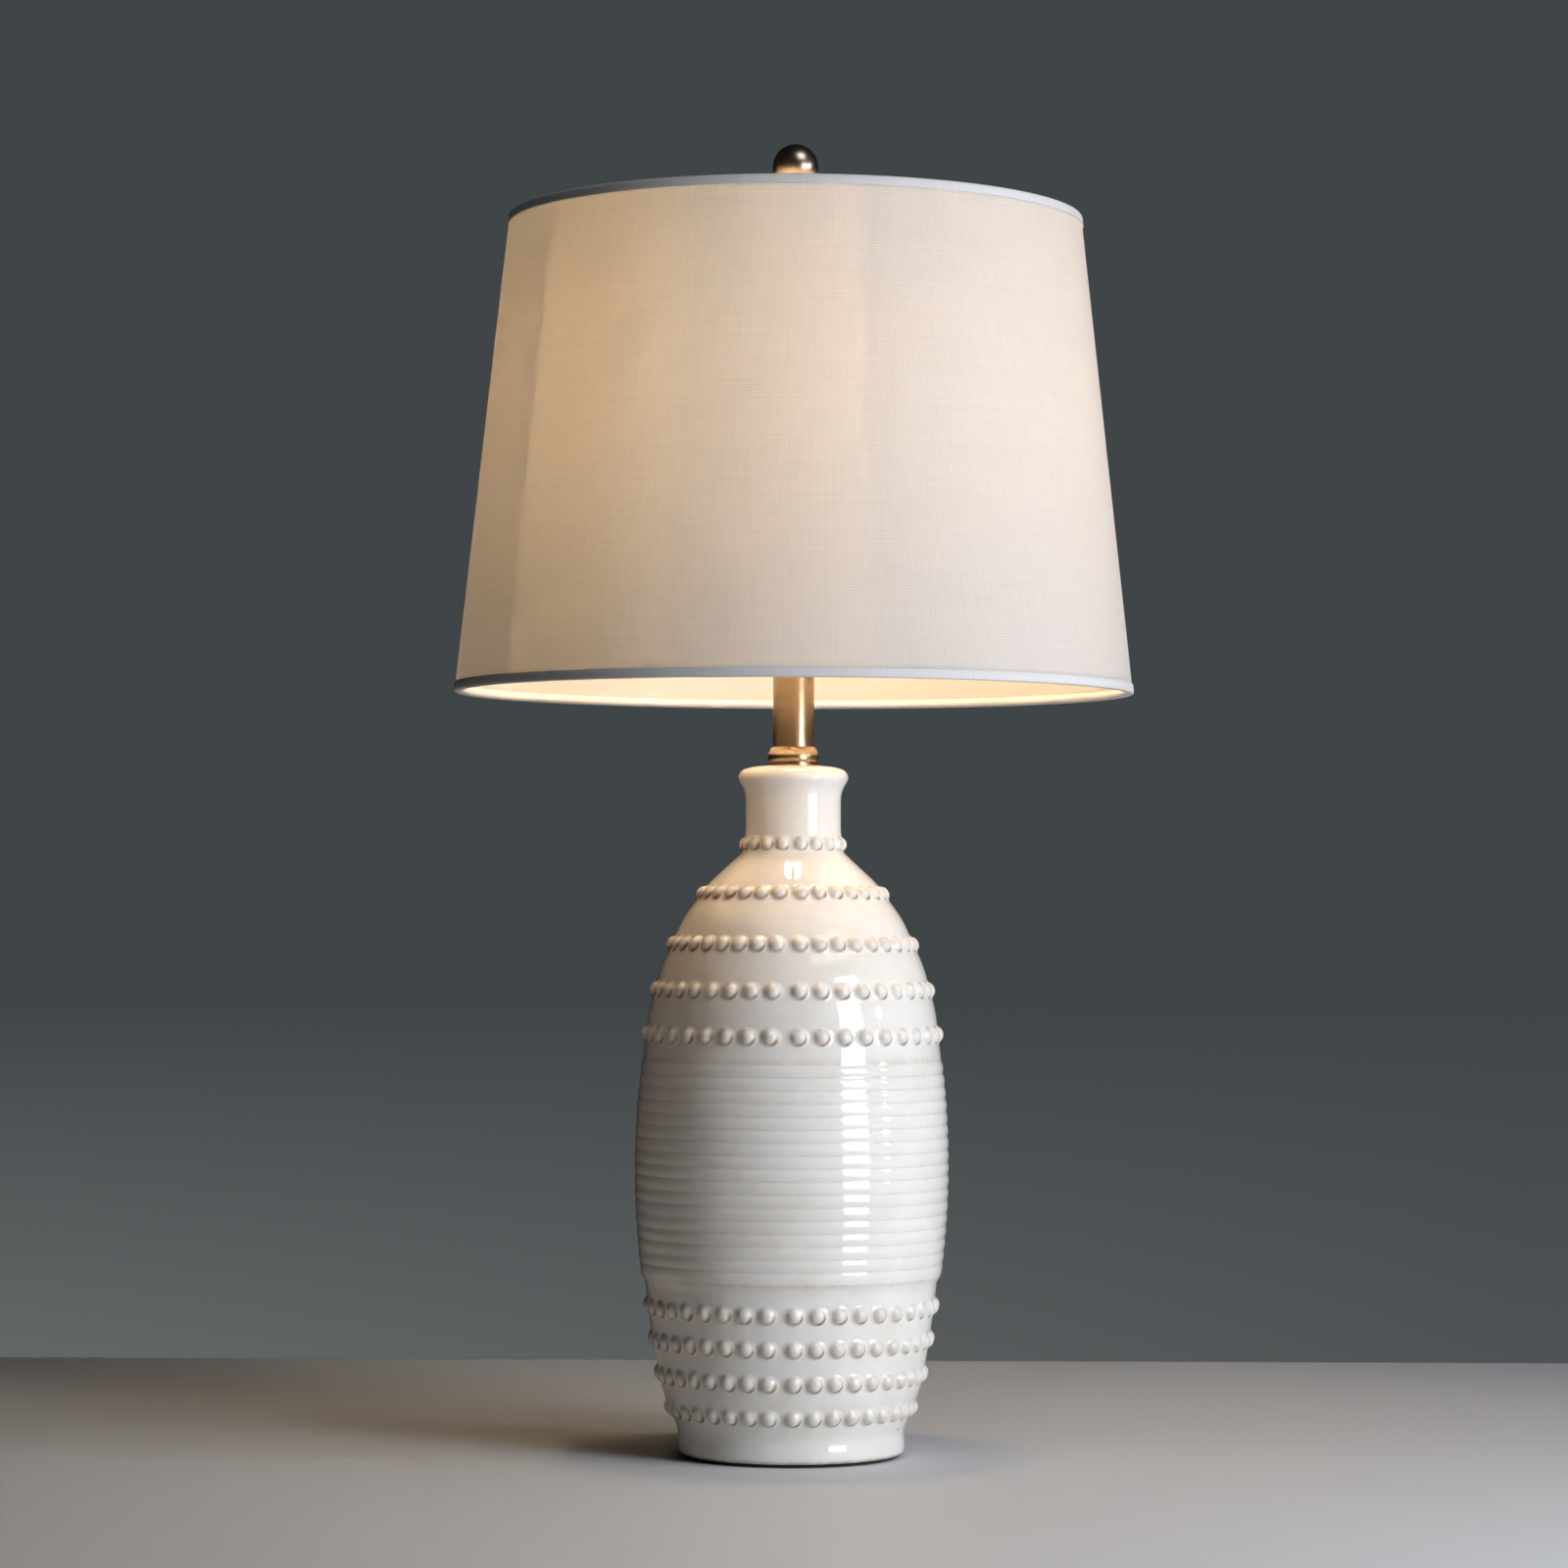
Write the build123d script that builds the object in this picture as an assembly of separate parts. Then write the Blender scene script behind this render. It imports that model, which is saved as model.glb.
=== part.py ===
from build123d import *

import os
from math import asin, cos, degrees, radians, sin

os.makedirs("parts", exist_ok=True)

# Table lamp: a beaded and ribbed white ceramic base on a felt pad, a nickel neck, a turn-knob socket
# with its bulb, a wire harp, and a tapered fabric shade held down by a ball finial.
# Millimetres. The origin is the middle of the resting face, +Z is up, and -Y is the front.

# Driving sizes of the whole lamp
SHADE_BOTTOM_RADIUS = 165.1
SHADE_TOP_RADIUS = 139.7
SHADE_BOTTOM = 368.7
SHADE_TOP = 600.6
BODY_RADIUS = 76.2
BODY_TOP = 334.0
FOOT_RADIUS = 54.7
BALL_RADIUS = 11.1
BALL_CENTRE = 626.0

# Clearances: a seat on its own body, a running fit, and a gap between bodies
SEAT_GAP = 0.05
RUN_GAP = 0.06
FREE_GAP = 0.3

# Pad and hollow ceramic body
PAD_TOP = 1.5
PAD_RADIUS = 52.5
FOOT_ROUND = 2.0
FOOT_BAND_TOP = 8.0
FOOT_WAIST_RADIUS = 54.4
FOOT_RING_RADIUS = 44.0
RECESS_TOP = 16.5
FLOOR_TOP = 22.5
ROOF_BOTTOM = 327.5
ROOF_FLAT_RADIUS = 13.0
NECK_RADIUS = 23.2
NECK_BOTTOM = 303.0
NECK_TOP = 317.0
LIP_RADIUS = 26.8
LIP_HEIGHT = 328.0
WALL = 6.0

# Throwing ribs round the belly: their crests follow one wide arc
RIB_COUNT = 17
RIB_PITCH = 6.1
RIB_DEPTH = 0.55
RIB_BOTTOM = 87.4
BELLY_HEIGHT = 140.0
BELLY_ARC_RADIUS = 400.0
RIB_TOP = RIB_BOTTOM + RIB_COUNT * RIB_PITCH

# Applied clay beads: height and number of each row. One gap of a row is a little wider at the front,
# and the bead on the right of that gap moves outwards from row to row.
BEAD_RADIUS = 4.1
BEAD_SUNK = 1.6
NECK_BEAD_RADIUS = 3.6
NECK_BEAD_SUNK = 1.3
BEAD_STEM = 0.4
BEAD_ROOT = 1.2
NECK_BEADS = {295.7: 19}
SHOULDER_BEADS = {272.0: 32, 247.5: 40, 225.3: 40, 203.8: 40}
LOWER_BEADS = {72.8: 40, 56.8: 40, 40.2: 40, 23.6: 38}
SEAM_TOP_HEIGHT = 272.0
SEAM_EXTRA_DEGREES = 1.8
SEAM_AZIMUTH = -93.3
SEAM_OFFSET_LOW = 0.4
SEAM_OFFSET_HIGH = 3.5

# Cord outlet at the back of the foot
OUTLET_HEIGHT = 9.5
OUTLET_RADIUS = 4.6
OUTLET_SEAT = 53.4
BUSHING_BORE_RADIUS = 3.3
BUSHING_FLANGE_RADIUS = 6.4
BUSHING_FLANGE = 1.6

# Threaded pipe and the fasteners under the floor, listed from the floor down
PIPE_RADIUS = 5.0
PIPE_BORE_RADIUS = 3.4
PIPE_BOTTOM = 4.5
PIPE_TOP = 404.0
RUBBER_WASHER = (16.0, 2.0)
STEEL_WASHER = (14.0, 1.5)
LOCK_WASHER = (8.2, 1.2)
LOCK_WASHER_SPLIT = 1.5
NUT_ACROSS_FLATS = 14.3
NUT_THICKNESS = 5.0

# Collar and neck tube
COLLAR_RADIUS = 12.4
COLLAR_FOOT_RADIUS = 11.9
COLLAR_FOOT_HEIGHT = 1.0
COLLAR_GROOVE_RADIUS = 11.2
COLLAR_GROOVE_WIDTH = 0.8
COLLAR_SHOULDER_HEIGHT = 5.5
COLLAR_SLOPE_MIDDLE = (11.45, 7.4)
COLLAR_SPIGOT = 3.0
COLLAR_TOP = 343.0
TUBE_RADIUS = 10.0
TUBE_WALL = 1.0
TUBE_TOP = 392.0
CHECK_RING = (12.5, 2.0)

# Harp and its saddle
SADDLE_THICKNESS = 2.0
SADDLE_WIDTH = 12.0
SADDLE_BOTTOM = TUBE_TOP + CHECK_RING[1]
SADDLE_TOP = SADDLE_BOTTOM + SADDLE_THICKNESS
LEG_SPACING = 57.2
SADDLE_ARM_TOP = 405.5
LEG_BOTTOM = 412.0
WIRE_RADIUS = 2.0
HARP_WIDTH = 116.0
HARP_BEND_HEIGHT = 444.0
HARP_BULGE_BOTTOM = 486.0
HARP_BULGE_TOP = 548.0
HARP_SHOULDER = 34.0
HARP_BENDS = [36, 85, 85, 18]
HARP_EYE = (32.0, 9.0)
HARP_PLATE_BOTTOM = 592.0
HARP_PLATE = 2.5
SLEEVE_RADIUS = 3.4
SLEEVE_LENGTH = 14.0
STUD_RADIUS = 3.175
STUD_TOP = 609.0
STUD_SHOULDER_RADIUS = 7.5
SPIDER_SEAT = 597.0

# Socket
CAP_RADIUS = 16.7
CAP_TOP = 414.0
SHELL_RADIUS = 15.95
SHELL_BOTTOM = 406.0
SHELL_TOP = 452.0
SHEET = 0.55
INTERIOR_RADIUS = 14.2
INTERIOR_BOTTOM = 408.0
INTERIOR_TOP = 426.0
SCREW_SHELL_RADIUS = 13.9
SCREW_SHELL_TOP = 448.0
CONTACT_TOP = 428.5
CONTACT_SHEET = 0.5
CONTACT_WIDTH = 4.4
TERMINAL_FLAT = 11.3
TERMINAL_HEIGHT = 417.0
TERMINAL_HEAD_RADIUS = 3.0
TERMINAL_SHANK_RADIUS = 1.55
TERMINAL_SLOT = (1.4, 7.0, 0.9)
SWITCH_HEIGHT = 418.0
SWITCH_SHAFT_RADIUS = 1.6
SWITCH_SHAFT_IN = 4.0
SWITCH_SLOT_WIDTH = 7.0
KNOB_IN = 20.5
KNOB_OUT = 37.0
KNOB_RADIUS = 5.2
KNOB_FLUTES = 10

# Bulb
BULB_RADIUS = 30.0
BULB_TOP = 538.0
BULB_CAP_RADIUS = 13.05
BULB_CAP_BOTTOM = 432.5
BULB_CAP_MOUTH = 9.0
BULB_CONTACT = (4.5, 1.0)
BULB_CAP_TOP = 451.0
BULB_NECK_RADIUS = 12.5
GLASS = 0.8

# Shade: cloth on a liner, on two rings, with a folded hem over each edge
CLOTH = 0.6
LINER = 0.5
HEM = 0.55
HEM_HEIGHT = 4.6
RING_WIRE_RADIUS = 1.5
SPOKE_RADIUS = 1.6
SPOKE_ANGLES = (90, 210, 330)
HUB_RADIUS = 12.7
HUB_THICKNESS = 2.0
HUB_HOLE_RADIUS = 3.6

# Finial
FINIAL_SEAT = SPIDER_SEAT + HUB_THICKNESS
INSERT_RADIUS = 4.2
INSERT_LENGTH = 12.0


def at(radius, height):
    """A point of an outline in the plane of the axis."""
    return (radius, 0, height)


def turned(*edges):
    """The solid that a closed outline sweeps round the lamp's axis."""
    return revolve(make_face(edges), axis=Axis.Z)


def turned_polygon(*corners):
    """The turned solid whose outline has straight sides between these (radius, height) corners."""
    return turned(Polyline(*[at(radius, height) for radius, height in corners], close=True))


def tube(outer, inner, bottom, top):
    """A plain round tube, washer or ring of flat section."""
    return turned_polygon((inner, bottom), (outer, bottom), (outer, top), (inner, top))


def rod(radius, start, end):
    """A round bar between two points."""
    path = Line(start, end)
    return sweep(Plane(origin=start, z_dir=path % 0) * Circle(radius), path=path)


def outline_at(wall, height):
    """The frame that stands square on a rising outline at a height, its Z axis pointing out of the wall."""
    low, high = 0.0, 1.0
    for _ in range(40):
        middle = (low + high) / 2
        if (wall @ middle).Z < height:
            low = middle
        else:
            high = middle
    along = wall % low
    return Plane(origin=wall @ low, z_dir=(along.Z, 0, -along.X))


def bead_row(wall, height, count, radius, sunk):
    """One ring of beads: caps of a ball on short stems that stand square in the wall."""
    stand = outline_at(wall, height)
    share = min(height / SEAM_TOP_HEIGHT, 1)
    offset = SEAM_OFFSET_LOW + (SEAM_OFFSET_HIGH - SEAM_OFFSET_LOW) * share
    first = degrees(asin(offset / stand.origin.X)) - 90
    pitch = (360 - SEAM_EXTRA_DEGREES) / count
    foot = (radius**2 - (sunk + BEAD_STEM) ** 2) ** 0.5
    slant = radius * sin(radians(45))
    bead = stand * turned(
        Polyline(at(0, -BEAD_ROOT), at(foot, -BEAD_ROOT), at(foot, BEAD_STEM)),
        ThreePointArc(at(foot, BEAD_STEM), at(slant, slant - sunk), at(0, radius - sunk)),
        Line(at(0, radius - sunk), at(0, -BEAD_ROOT)),
    )
    return [Rot(0, 0, first + pitch * step) * bead for step in range(count)]


def belly_radius(height):
    """Radius of the arc that the ribs' crests follow."""
    return BODY_RADIUS - (height - BELLY_HEIGHT) ** 2 / (2 * BELLY_ARC_RADIUS)


def rib_outline():
    """The throwing ribs as a chain of shallow arcs from groove to groove."""
    ribs = []
    for step in range(RIB_COUNT):
        bottom = RIB_BOTTOM + step * RIB_PITCH
        crest, top = bottom + RIB_PITCH / 2, bottom + RIB_PITCH
        ribs.append(
            ThreePointArc(
                at(belly_radius(bottom) - RIB_DEPTH, bottom),
                at(belly_radius(crest), crest),
                at(belly_radius(top) - RIB_DEPTH, top),
            )
        )
    return ribs


def lower_wall_outline():
    """The beaded wall from the foot up to the ribs."""
    return FilletPolyline(
        at(FOOT_WAIST_RADIUS, FOOT_BAND_TOP),
        at(FOOT_WAIST_RADIUS, 10.5),
        at(62.4, 32.0),
        at(65.6, 48.5),
        at(68.3, 65.0),
        at(70.7, 84.6),
        radius=[10, 45, 150, 150],
    )


def shoulder_outline():
    """The beaded wall from the ribs in to the neck."""
    start = at(belly_radius(RIB_TOP) - RIB_DEPTH, RIB_TOP)
    return FilletPolyline(
        start,
        at(69.6, 214.8),
        at(63.8, 236.5),
        at(53.4, 259.5),
        at(40.6, 277.0),
        at(24.2, 292.2),
        at(NECK_RADIUS, NECK_BOTTOM),
        radius=[60, 60, 50, 30, 6],
    )


def ceramic_body():
    """The hollow slip-cast base: foot, beaded lower wall, ribbed belly, beaded shoulder, neck and lip."""
    round_centre = FOOT_RADIUS - FOOT_ROUND
    quarter = FOOT_ROUND * cos(radians(45))
    ribs = rib_outline()
    lower_wall = lower_wall_outline()
    shoulder = shoulder_outline()
    foot = [
        Line(at(FOOT_RING_RADIUS, PAD_TOP), at(round_centre, PAD_TOP)),
        ThreePointArc(
            at(round_centre, PAD_TOP),
            at(round_centre + quarter, PAD_TOP + FOOT_ROUND - quarter),
            at(FOOT_RADIUS, PAD_TOP + FOOT_ROUND),
        ),
        Line(at(FOOT_RADIUS, PAD_TOP + FOOT_ROUND), at(FOOT_WAIST_RADIUS, FOOT_BAND_TOP)),
    ]
    step_out = Line(lower_wall @ 1, ribs[0] @ 0)
    neck = Line(shoulder @ 1, at(NECK_RADIUS, NECK_TOP))
    lip = Spline(
        neck @ 1,
        at(24.7, 323.4),
        at(LIP_RADIUS, LIP_HEIGHT),
        at(24.2, 332.0),
        at(ROOF_FLAT_RADIUS, BODY_TOP),
        tangents=[at(0, 1), at(-1, 0.05)],
    )
    bore = PIPE_RADIUS + FREE_GAP * 2
    roof = Polyline(
        lip @ 1,
        at(bore, BODY_TOP),
        at(bore, ROOF_BOTTOM),
        at(NECK_RADIUS - WALL, ROOF_BOTTOM),
        at(NECK_RADIUS - WALL, NECK_BOTTOM),
    )
    inside = Spline(
        roof @ 1,
        at(32.0, 277.0),
        at(50.3, 252.0),
        at(64.0, 212.0),
        at(BODY_RADIUS - WALL, BELLY_HEIGHT),
        at(66.0, 90.0),
        at(59.3, 45.0),
        at(50.0, FLOOR_TOP),
    )
    underside = Polyline(
        inside @ 1,
        at(bore, FLOOR_TOP),
        at(bore, RECESS_TOP),
        at(FOOT_RING_RADIUS, RECESS_TOP),
        at(FOOT_RING_RADIUS, PAD_TOP),
    )
    pot = turned(*foot, lower_wall, step_out, *ribs, shoulder, neck, lip, roof, inside, underside)
    outlet = rod(OUTLET_RADIUS, (0, FOOT_RING_RADIUS - WALL, OUTLET_HEIGHT), (0, 70, OUTLET_HEIGHT))
    seat = rod(BUSHING_FLANGE_RADIUS + FREE_GAP, (0, OUTLET_SEAT, OUTLET_HEIGHT), (0, 70, OUTLET_HEIGHT))
    pot = Rot(0, 0, SEAM_AZIMUTH) * pot - [outlet, seat]
    for height, count in NECK_BEADS.items():
        pot = pot.fuse(*bead_row(shoulder, height, count, NECK_BEAD_RADIUS, NECK_BEAD_SUNK))
    for height, count in SHOULDER_BEADS.items():
        pot = pot.fuse(*bead_row(shoulder, height, count, BEAD_RADIUS, BEAD_SUNK))
    for height, count in LOWER_BEADS.items():
        pot = pot.fuse(*bead_row(lower_wall, height, count, BEAD_RADIUS, BEAD_SUNK))
    return pot


def cord_bushing():
    """The flanged bushing that lines the cord outlet."""
    barrel_start = FOOT_RING_RADIUS - 2.0
    flange_end = OUTLET_SEAT + BUSHING_FLANGE
    barrel = rod(OUTLET_RADIUS - SEAT_GAP, (0, barrel_start, OUTLET_HEIGHT), (0, OUTLET_SEAT, OUTLET_HEIGHT))
    flange = rod(BUSHING_FLANGE_RADIUS, (0, OUTLET_SEAT, OUTLET_HEIGHT), (0, flange_end, OUTLET_HEIGHT))
    bore = rod(BUSHING_BORE_RADIUS, (0, barrel_start - 1, OUTLET_HEIGHT), (0, flange_end + 1, OUTLET_HEIGHT))
    bushing = barrel + flange
    rim = bushing.edges().filter_by(GeomType.CIRCLE).sort_by(Axis.Y)[-1]
    return fillet(rim, BUSHING_FLANGE * 0.5) - bore


def base_fasteners():
    """The washers and the nut that clamp the pipe under the ceramic floor."""
    bore = PIPE_RADIUS + SEAT_GAP
    pieces, top = {}, RECESS_TOP
    for name, (radius, thickness) in (
        ("rubber_washer", RUBBER_WASHER),
        ("steel_washer", STEEL_WASHER),
        ("lock_washer", LOCK_WASHER),
    ):
        pieces[name] = tube(radius, bore, top - thickness, top)
        top -= thickness
    split = Pos(LOCK_WASHER[0] / 2, 0, top) * Box(LOCK_WASHER[0], LOCK_WASHER_SPLIT, WALL)
    pieces["lock_washer"] -= split
    hexagon = RegularPolygon(NUT_ACROSS_FLATS / 2, 6, major_radius=False) - Circle(bore)
    pieces["hex_nut"] = Pos(0, 0, top - NUT_THICKNESS) * extrude(hexagon, NUT_THICKNESS)
    return pieces


def neck_collar():
    """The grooved collar under the neck tube, with a spigot that centres the tube."""
    bore = PIPE_RADIUS + SEAT_GAP
    spigot = TUBE_RADIUS - TUBE_WALL - SEAT_GAP
    groove_start = BODY_TOP + COLLAR_FOOT_HEIGHT
    groove_end = groove_start + COLLAR_GROOVE_WIDTH
    chamfer = COLLAR_GROOVE_WIDTH / 3
    shoulder = BODY_TOP + COLLAR_SHOULDER_HEIGHT
    slope_radius, slope_height = COLLAR_SLOPE_MIDDLE
    foot = Polyline(
        at(bore, BODY_TOP),
        at(COLLAR_FOOT_RADIUS, BODY_TOP),
        at(COLLAR_FOOT_RADIUS, groove_start),
        at(COLLAR_GROOVE_RADIUS, groove_start + chamfer),
        at(COLLAR_GROOVE_RADIUS, groove_end - chamfer),
        at(COLLAR_FOOT_RADIUS, groove_end),
    )
    band = ThreePointArc(foot @ 1, at(COLLAR_RADIUS, (groove_end + shoulder) / 2), at(COLLAR_RADIUS - 0.1, shoulder))
    slope = ThreePointArc(band @ 1, at(slope_radius, BODY_TOP + slope_height), at(TUBE_RADIUS, COLLAR_TOP))
    inside = Polyline(
        slope @ 1,
        at(spigot, COLLAR_TOP),
        at(spigot, COLLAR_TOP + COLLAR_SPIGOT),
        at(bore, COLLAR_TOP + COLLAR_SPIGOT),
        at(bore, BODY_TOP),
    )
    return turned(foot, band, slope, inside)


def harp_saddle():
    """The bent strip under the socket, with a peg at each end for a harp leg."""
    side = LEG_SPACING / 2
    middle = SADDLE_BOTTOM + SADDLE_THICKNESS / 2
    path = FilletPolyline(
        at(-side, SADDLE_ARM_TOP), at(-side, middle), at(side, middle), at(side, SADDLE_ARM_TOP), radius=8
    )
    inner = offset_outline(path, SADDLE_THICKNESS)
    strip = extrude(inner, SADDLE_WIDTH / 2, dir=(0, 1, 0), both=True)
    strip -= Pos(0, 0, middle) * Cylinder(PIPE_RADIUS + SEAT_GAP, 4 * SADDLE_THICKNESS)
    for x in (-side, side):
        strip += rod(WIRE_RADIUS, at(x, SADDLE_ARM_TOP - 1), at(x, LEG_BOTTOM))
    return strip


def offset_outline(path, width):
    """The flat band of a given width along a path in the XZ plane."""
    return Plane.XZ * trace(Plane.XZ.to_local_coords(path), width)


def harp():
    """The two-sided wire bow, flattened and drilled at the top."""
    side, bulge = LEG_SPACING / 2, HARP_WIDTH / 2
    top = HARP_PLATE_BOTTOM + HARP_PLATE / 2
    path = FilletPolyline(
        at(side, LEG_BOTTOM),
        at(side, HARP_BEND_HEIGHT),
        at(bulge, HARP_BULGE_BOTTOM),
        at(bulge, HARP_BULGE_TOP),
        at(HARP_SHOULDER, top),
        at(HARP_EYE[1], top),
        radius=HARP_BENDS,
    )
    leg = sweep(Plane(origin=path @ 0, z_dir=path % 0) * Circle(WIRE_RADIUS), path=path)
    eye = SlotOverall(*HARP_EYE) - Circle(STUD_RADIUS + SEAT_GAP)
    plate = Pos(0, 0, HARP_PLATE_BOTTOM) * extrude(eye, HARP_PLATE)
    room = 2 * HARP_PLATE
    shoulder_room = Pos(0, 0, HARP_PLATE_BOTTOM + HARP_PLATE + room / 2)
    shoulder_room *= Cylinder(STUD_SHOULDER_RADIUS + FREE_GAP, room)
    return leg + mirror(leg, about=Plane.YZ) + plate - shoulder_room


def harp_stud():
    """The riveted stud on top of the harp: rivet head, shank, shoulder and thread."""
    plate_top = HARP_PLATE_BOTTOM + HARP_PLATE
    return turned_polygon(
        (0, HARP_PLATE_BOTTOM - 1.5),
        (5.0, HARP_PLATE_BOTTOM - 1.5),
        (5.5, HARP_PLATE_BOTTOM),
        (STUD_RADIUS, HARP_PLATE_BOTTOM),
        (STUD_RADIUS, plate_top),
        (STUD_SHOULDER_RADIUS, plate_top),
        (STUD_SHOULDER_RADIUS, SPIDER_SEAT),
        (STUD_RADIUS, SPIDER_SEAT),
        (STUD_RADIUS, STUD_TOP - 0.7),
        (STUD_RADIUS - 0.7, STUD_TOP),
        (0, STUD_TOP),
    )


def harp_sleeve(x):
    """A sliding sleeve with rolled ends that locks one harp leg to its peg."""
    bore = WIRE_RADIUS + RUN_GAP
    top = SADDLE_ARM_TOP + SLEEVE_LENGTH
    waist = SLEEVE_RADIUS - 0.5
    sleeve = turned_polygon(
        (bore, SADDLE_ARM_TOP),
        (SLEEVE_RADIUS, SADDLE_ARM_TOP),
        (SLEEVE_RADIUS, SADDLE_ARM_TOP + 1.6),
        (waist, SADDLE_ARM_TOP + 2.4),
        (waist, top - 2.4),
        (SLEEVE_RADIUS, top - 1.6),
        (SLEEVE_RADIUS, top),
        (bore, top),
    )
    return Pos(x, 0, 0) * sleeve


def switch_slot(bottom):
    """The slot that lets the switch shaft out through the front of a socket wall."""
    height = SWITCH_HEIGHT + SWITCH_SLOT_WIDTH / 2 - bottom
    return Pos(0, -SHELL_RADIUS, bottom + height / 2) * Box(SWITCH_SLOT_WIDTH, 2 * WALL, height)


def socket_cap():
    """The domed cap that screws on the pipe and takes the shell."""
    bore = PIPE_RADIUS + SEAT_GAP
    inner = CAP_RADIUS - SHEET
    cap = turned(
        Polyline(at(bore, SADDLE_TOP), at(8.0, SADDLE_TOP), at(8.0, SADDLE_TOP + 2)),
        ThreePointArc(at(8.0, SADDLE_TOP + 2), at(14.3, SADDLE_TOP + 4.2), at(CAP_RADIUS, SADDLE_TOP + 10)),
        Polyline(at(CAP_RADIUS, SADDLE_TOP + 10), at(CAP_RADIUS, CAP_TOP), at(inner, CAP_TOP)),
        Polyline(at(inner, CAP_TOP), at(inner, SHELL_BOTTOM), at(8.0, SADDLE_TOP + 4.0)),
        Polyline(at(8.0, SADDLE_TOP + 4.0), at(bore, SADDLE_TOP + 4.0), at(bore, SADDLE_TOP)),
    )
    return cap - Pos(0, 0, CAP_TOP - SHELL_BOTTOM) * switch_slot(SHELL_BOTTOM)


def socket_shell():
    """The thin outer shell with a rolled bead below its mouth."""
    inner = SHELL_RADIUS - SHEET
    shell = turned(
        Polyline(at(inner, SHELL_BOTTOM), at(SHELL_RADIUS, SHELL_BOTTOM), at(SHELL_RADIUS, SHELL_TOP - 5)),
        ThreePointArc(
            at(SHELL_RADIUS, SHELL_TOP - 5),
            at(SHELL_RADIUS + 1, SHELL_TOP - 3.5),
            at(SHELL_RADIUS, SHELL_TOP - 2),
        ),
        Polyline(
            at(SHELL_RADIUS, SHELL_TOP - 2),
            at(SHELL_RADIUS, SHELL_TOP),
            at(inner, SHELL_TOP),
            at(inner, SHELL_BOTTOM),
        ),
    )
    return shell - switch_slot(SHELL_BOTTOM)


def socket_liner():
    """The insulating paper tube inside the shell."""
    outer = SHELL_RADIUS - SHEET - SEAT_GAP
    liner = tube(outer, outer - 0.6, INTERIOR_BOTTOM, SHELL_TOP - 1)
    return liner - switch_slot(INTERIOR_BOTTOM)


def socket_interior():
    """The moulded interior that carries the screw shell, the terminals and the switch."""
    height = INTERIOR_TOP - INTERIOR_BOTTOM
    middle = INTERIOR_BOTTOM + height / 2
    interior = Pos(0, 0, middle) * Cylinder(INTERIOR_RADIUS, height)
    interior &= Pos(0, 0, middle) * Box(2 * TERMINAL_FLAT, 2 * INTERIOR_RADIUS, height)
    shaft_end = -SWITCH_SHAFT_IN + FREE_GAP
    interior -= rod(SWITCH_SHAFT_RADIUS + RUN_GAP, (0, shaft_end, SWITCH_HEIGHT), (0, -20, SWITCH_HEIGHT))
    for side in (-1, 1):
        start = (side * (TERMINAL_FLAT - 5), 0, TERMINAL_HEIGHT)
        interior -= rod(TERMINAL_SHANK_RADIUS + SEAT_GAP, start, (side * 20, 0, TERMINAL_HEIGHT))
    return interior


def terminal_screws():
    """The two wire screws on the flats of the interior."""
    screws = []
    for side in (-1, 1):
        tip, neck, face = [at(side * (TERMINAL_FLAT + reach), TERMINAL_HEIGHT) for reach in (-5, 0, 2)]
        screw = rod(TERMINAL_HEAD_RADIUS, neck, face) + rod(TERMINAL_SHANK_RADIUS, tip, neck)
        screws.append(screw - Pos(*face) * Box(*TERMINAL_SLOT))
    return Compound(children=screws)


def screw_shell():
    """The screw shell that holds the bulb, open at the top and pierced for the contact."""
    inner = SCREW_SHELL_RADIUS - 0.5
    return turned_polygon(
        (6.5, INTERIOR_TOP),
        (SCREW_SHELL_RADIUS, INTERIOR_TOP),
        (SCREW_SHELL_RADIUS, SCREW_SHELL_TOP),
        (inner, SCREW_SHELL_TOP),
        (inner, INTERIOR_TOP + 0.6),
        (6.5, INTERIOR_TOP + 0.6),
    )


def centre_contact():
    """The cranked brass tongue that meets the foot of the bulb."""
    low = INTERIOR_TOP + CONTACT_SHEET / 2
    high = CONTACT_TOP - CONTACT_SHEET / 2
    path = Polyline(at(-5.5, low), at(-3.5, low), at(-1.5, high), at(3, high))
    return extrude(offset_outline(path, CONTACT_SHEET), CONTACT_WIDTH / 2, dir=(0, 1, 0), both=True)


def switch_shaft():
    """The shaft of the turn switch."""
    return rod(SWITCH_SHAFT_RADIUS, (0, -SWITCH_SHAFT_IN, SWITCH_HEIGHT), (0, -KNOB_IN - 8, SWITCH_HEIGHT))


def switch_knob():
    """The fluted turn knob, bored for its shaft."""
    front = Plane(origin=(0, -KNOB_IN, SWITCH_HEIGHT), z_dir=(0, -1, 0))
    flutes = PolarLocations(KNOB_RADIUS + 0.5, KNOB_FLUTES) * Circle(1.1)
    section = front * (Circle(KNOB_RADIUS) - flutes)
    length = KNOB_OUT - KNOB_IN
    knob = extrude(section, length, taper=3)
    hole_end = (0, -KNOB_IN - 8, SWITCH_HEIGHT)
    knob -= rod(SWITCH_SHAFT_RADIUS + SEAT_GAP, (0, -KNOB_IN, SWITCH_HEIGHT), hole_end)
    return knob


def bulb_envelope():
    """The blown glass envelope, open at its neck."""
    centre = BULB_TOP - BULB_RADIUS
    outside = bulb_outline(centre, 0)
    inside = bulb_outline(centre, GLASS)
    neck = Line(outside[0] @ 0, inside[0] @ 0)
    crown = Line(outside[-1] @ 1, inside[-1] @ 1)
    return turned(*outside, *inside, neck, crown)


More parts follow.
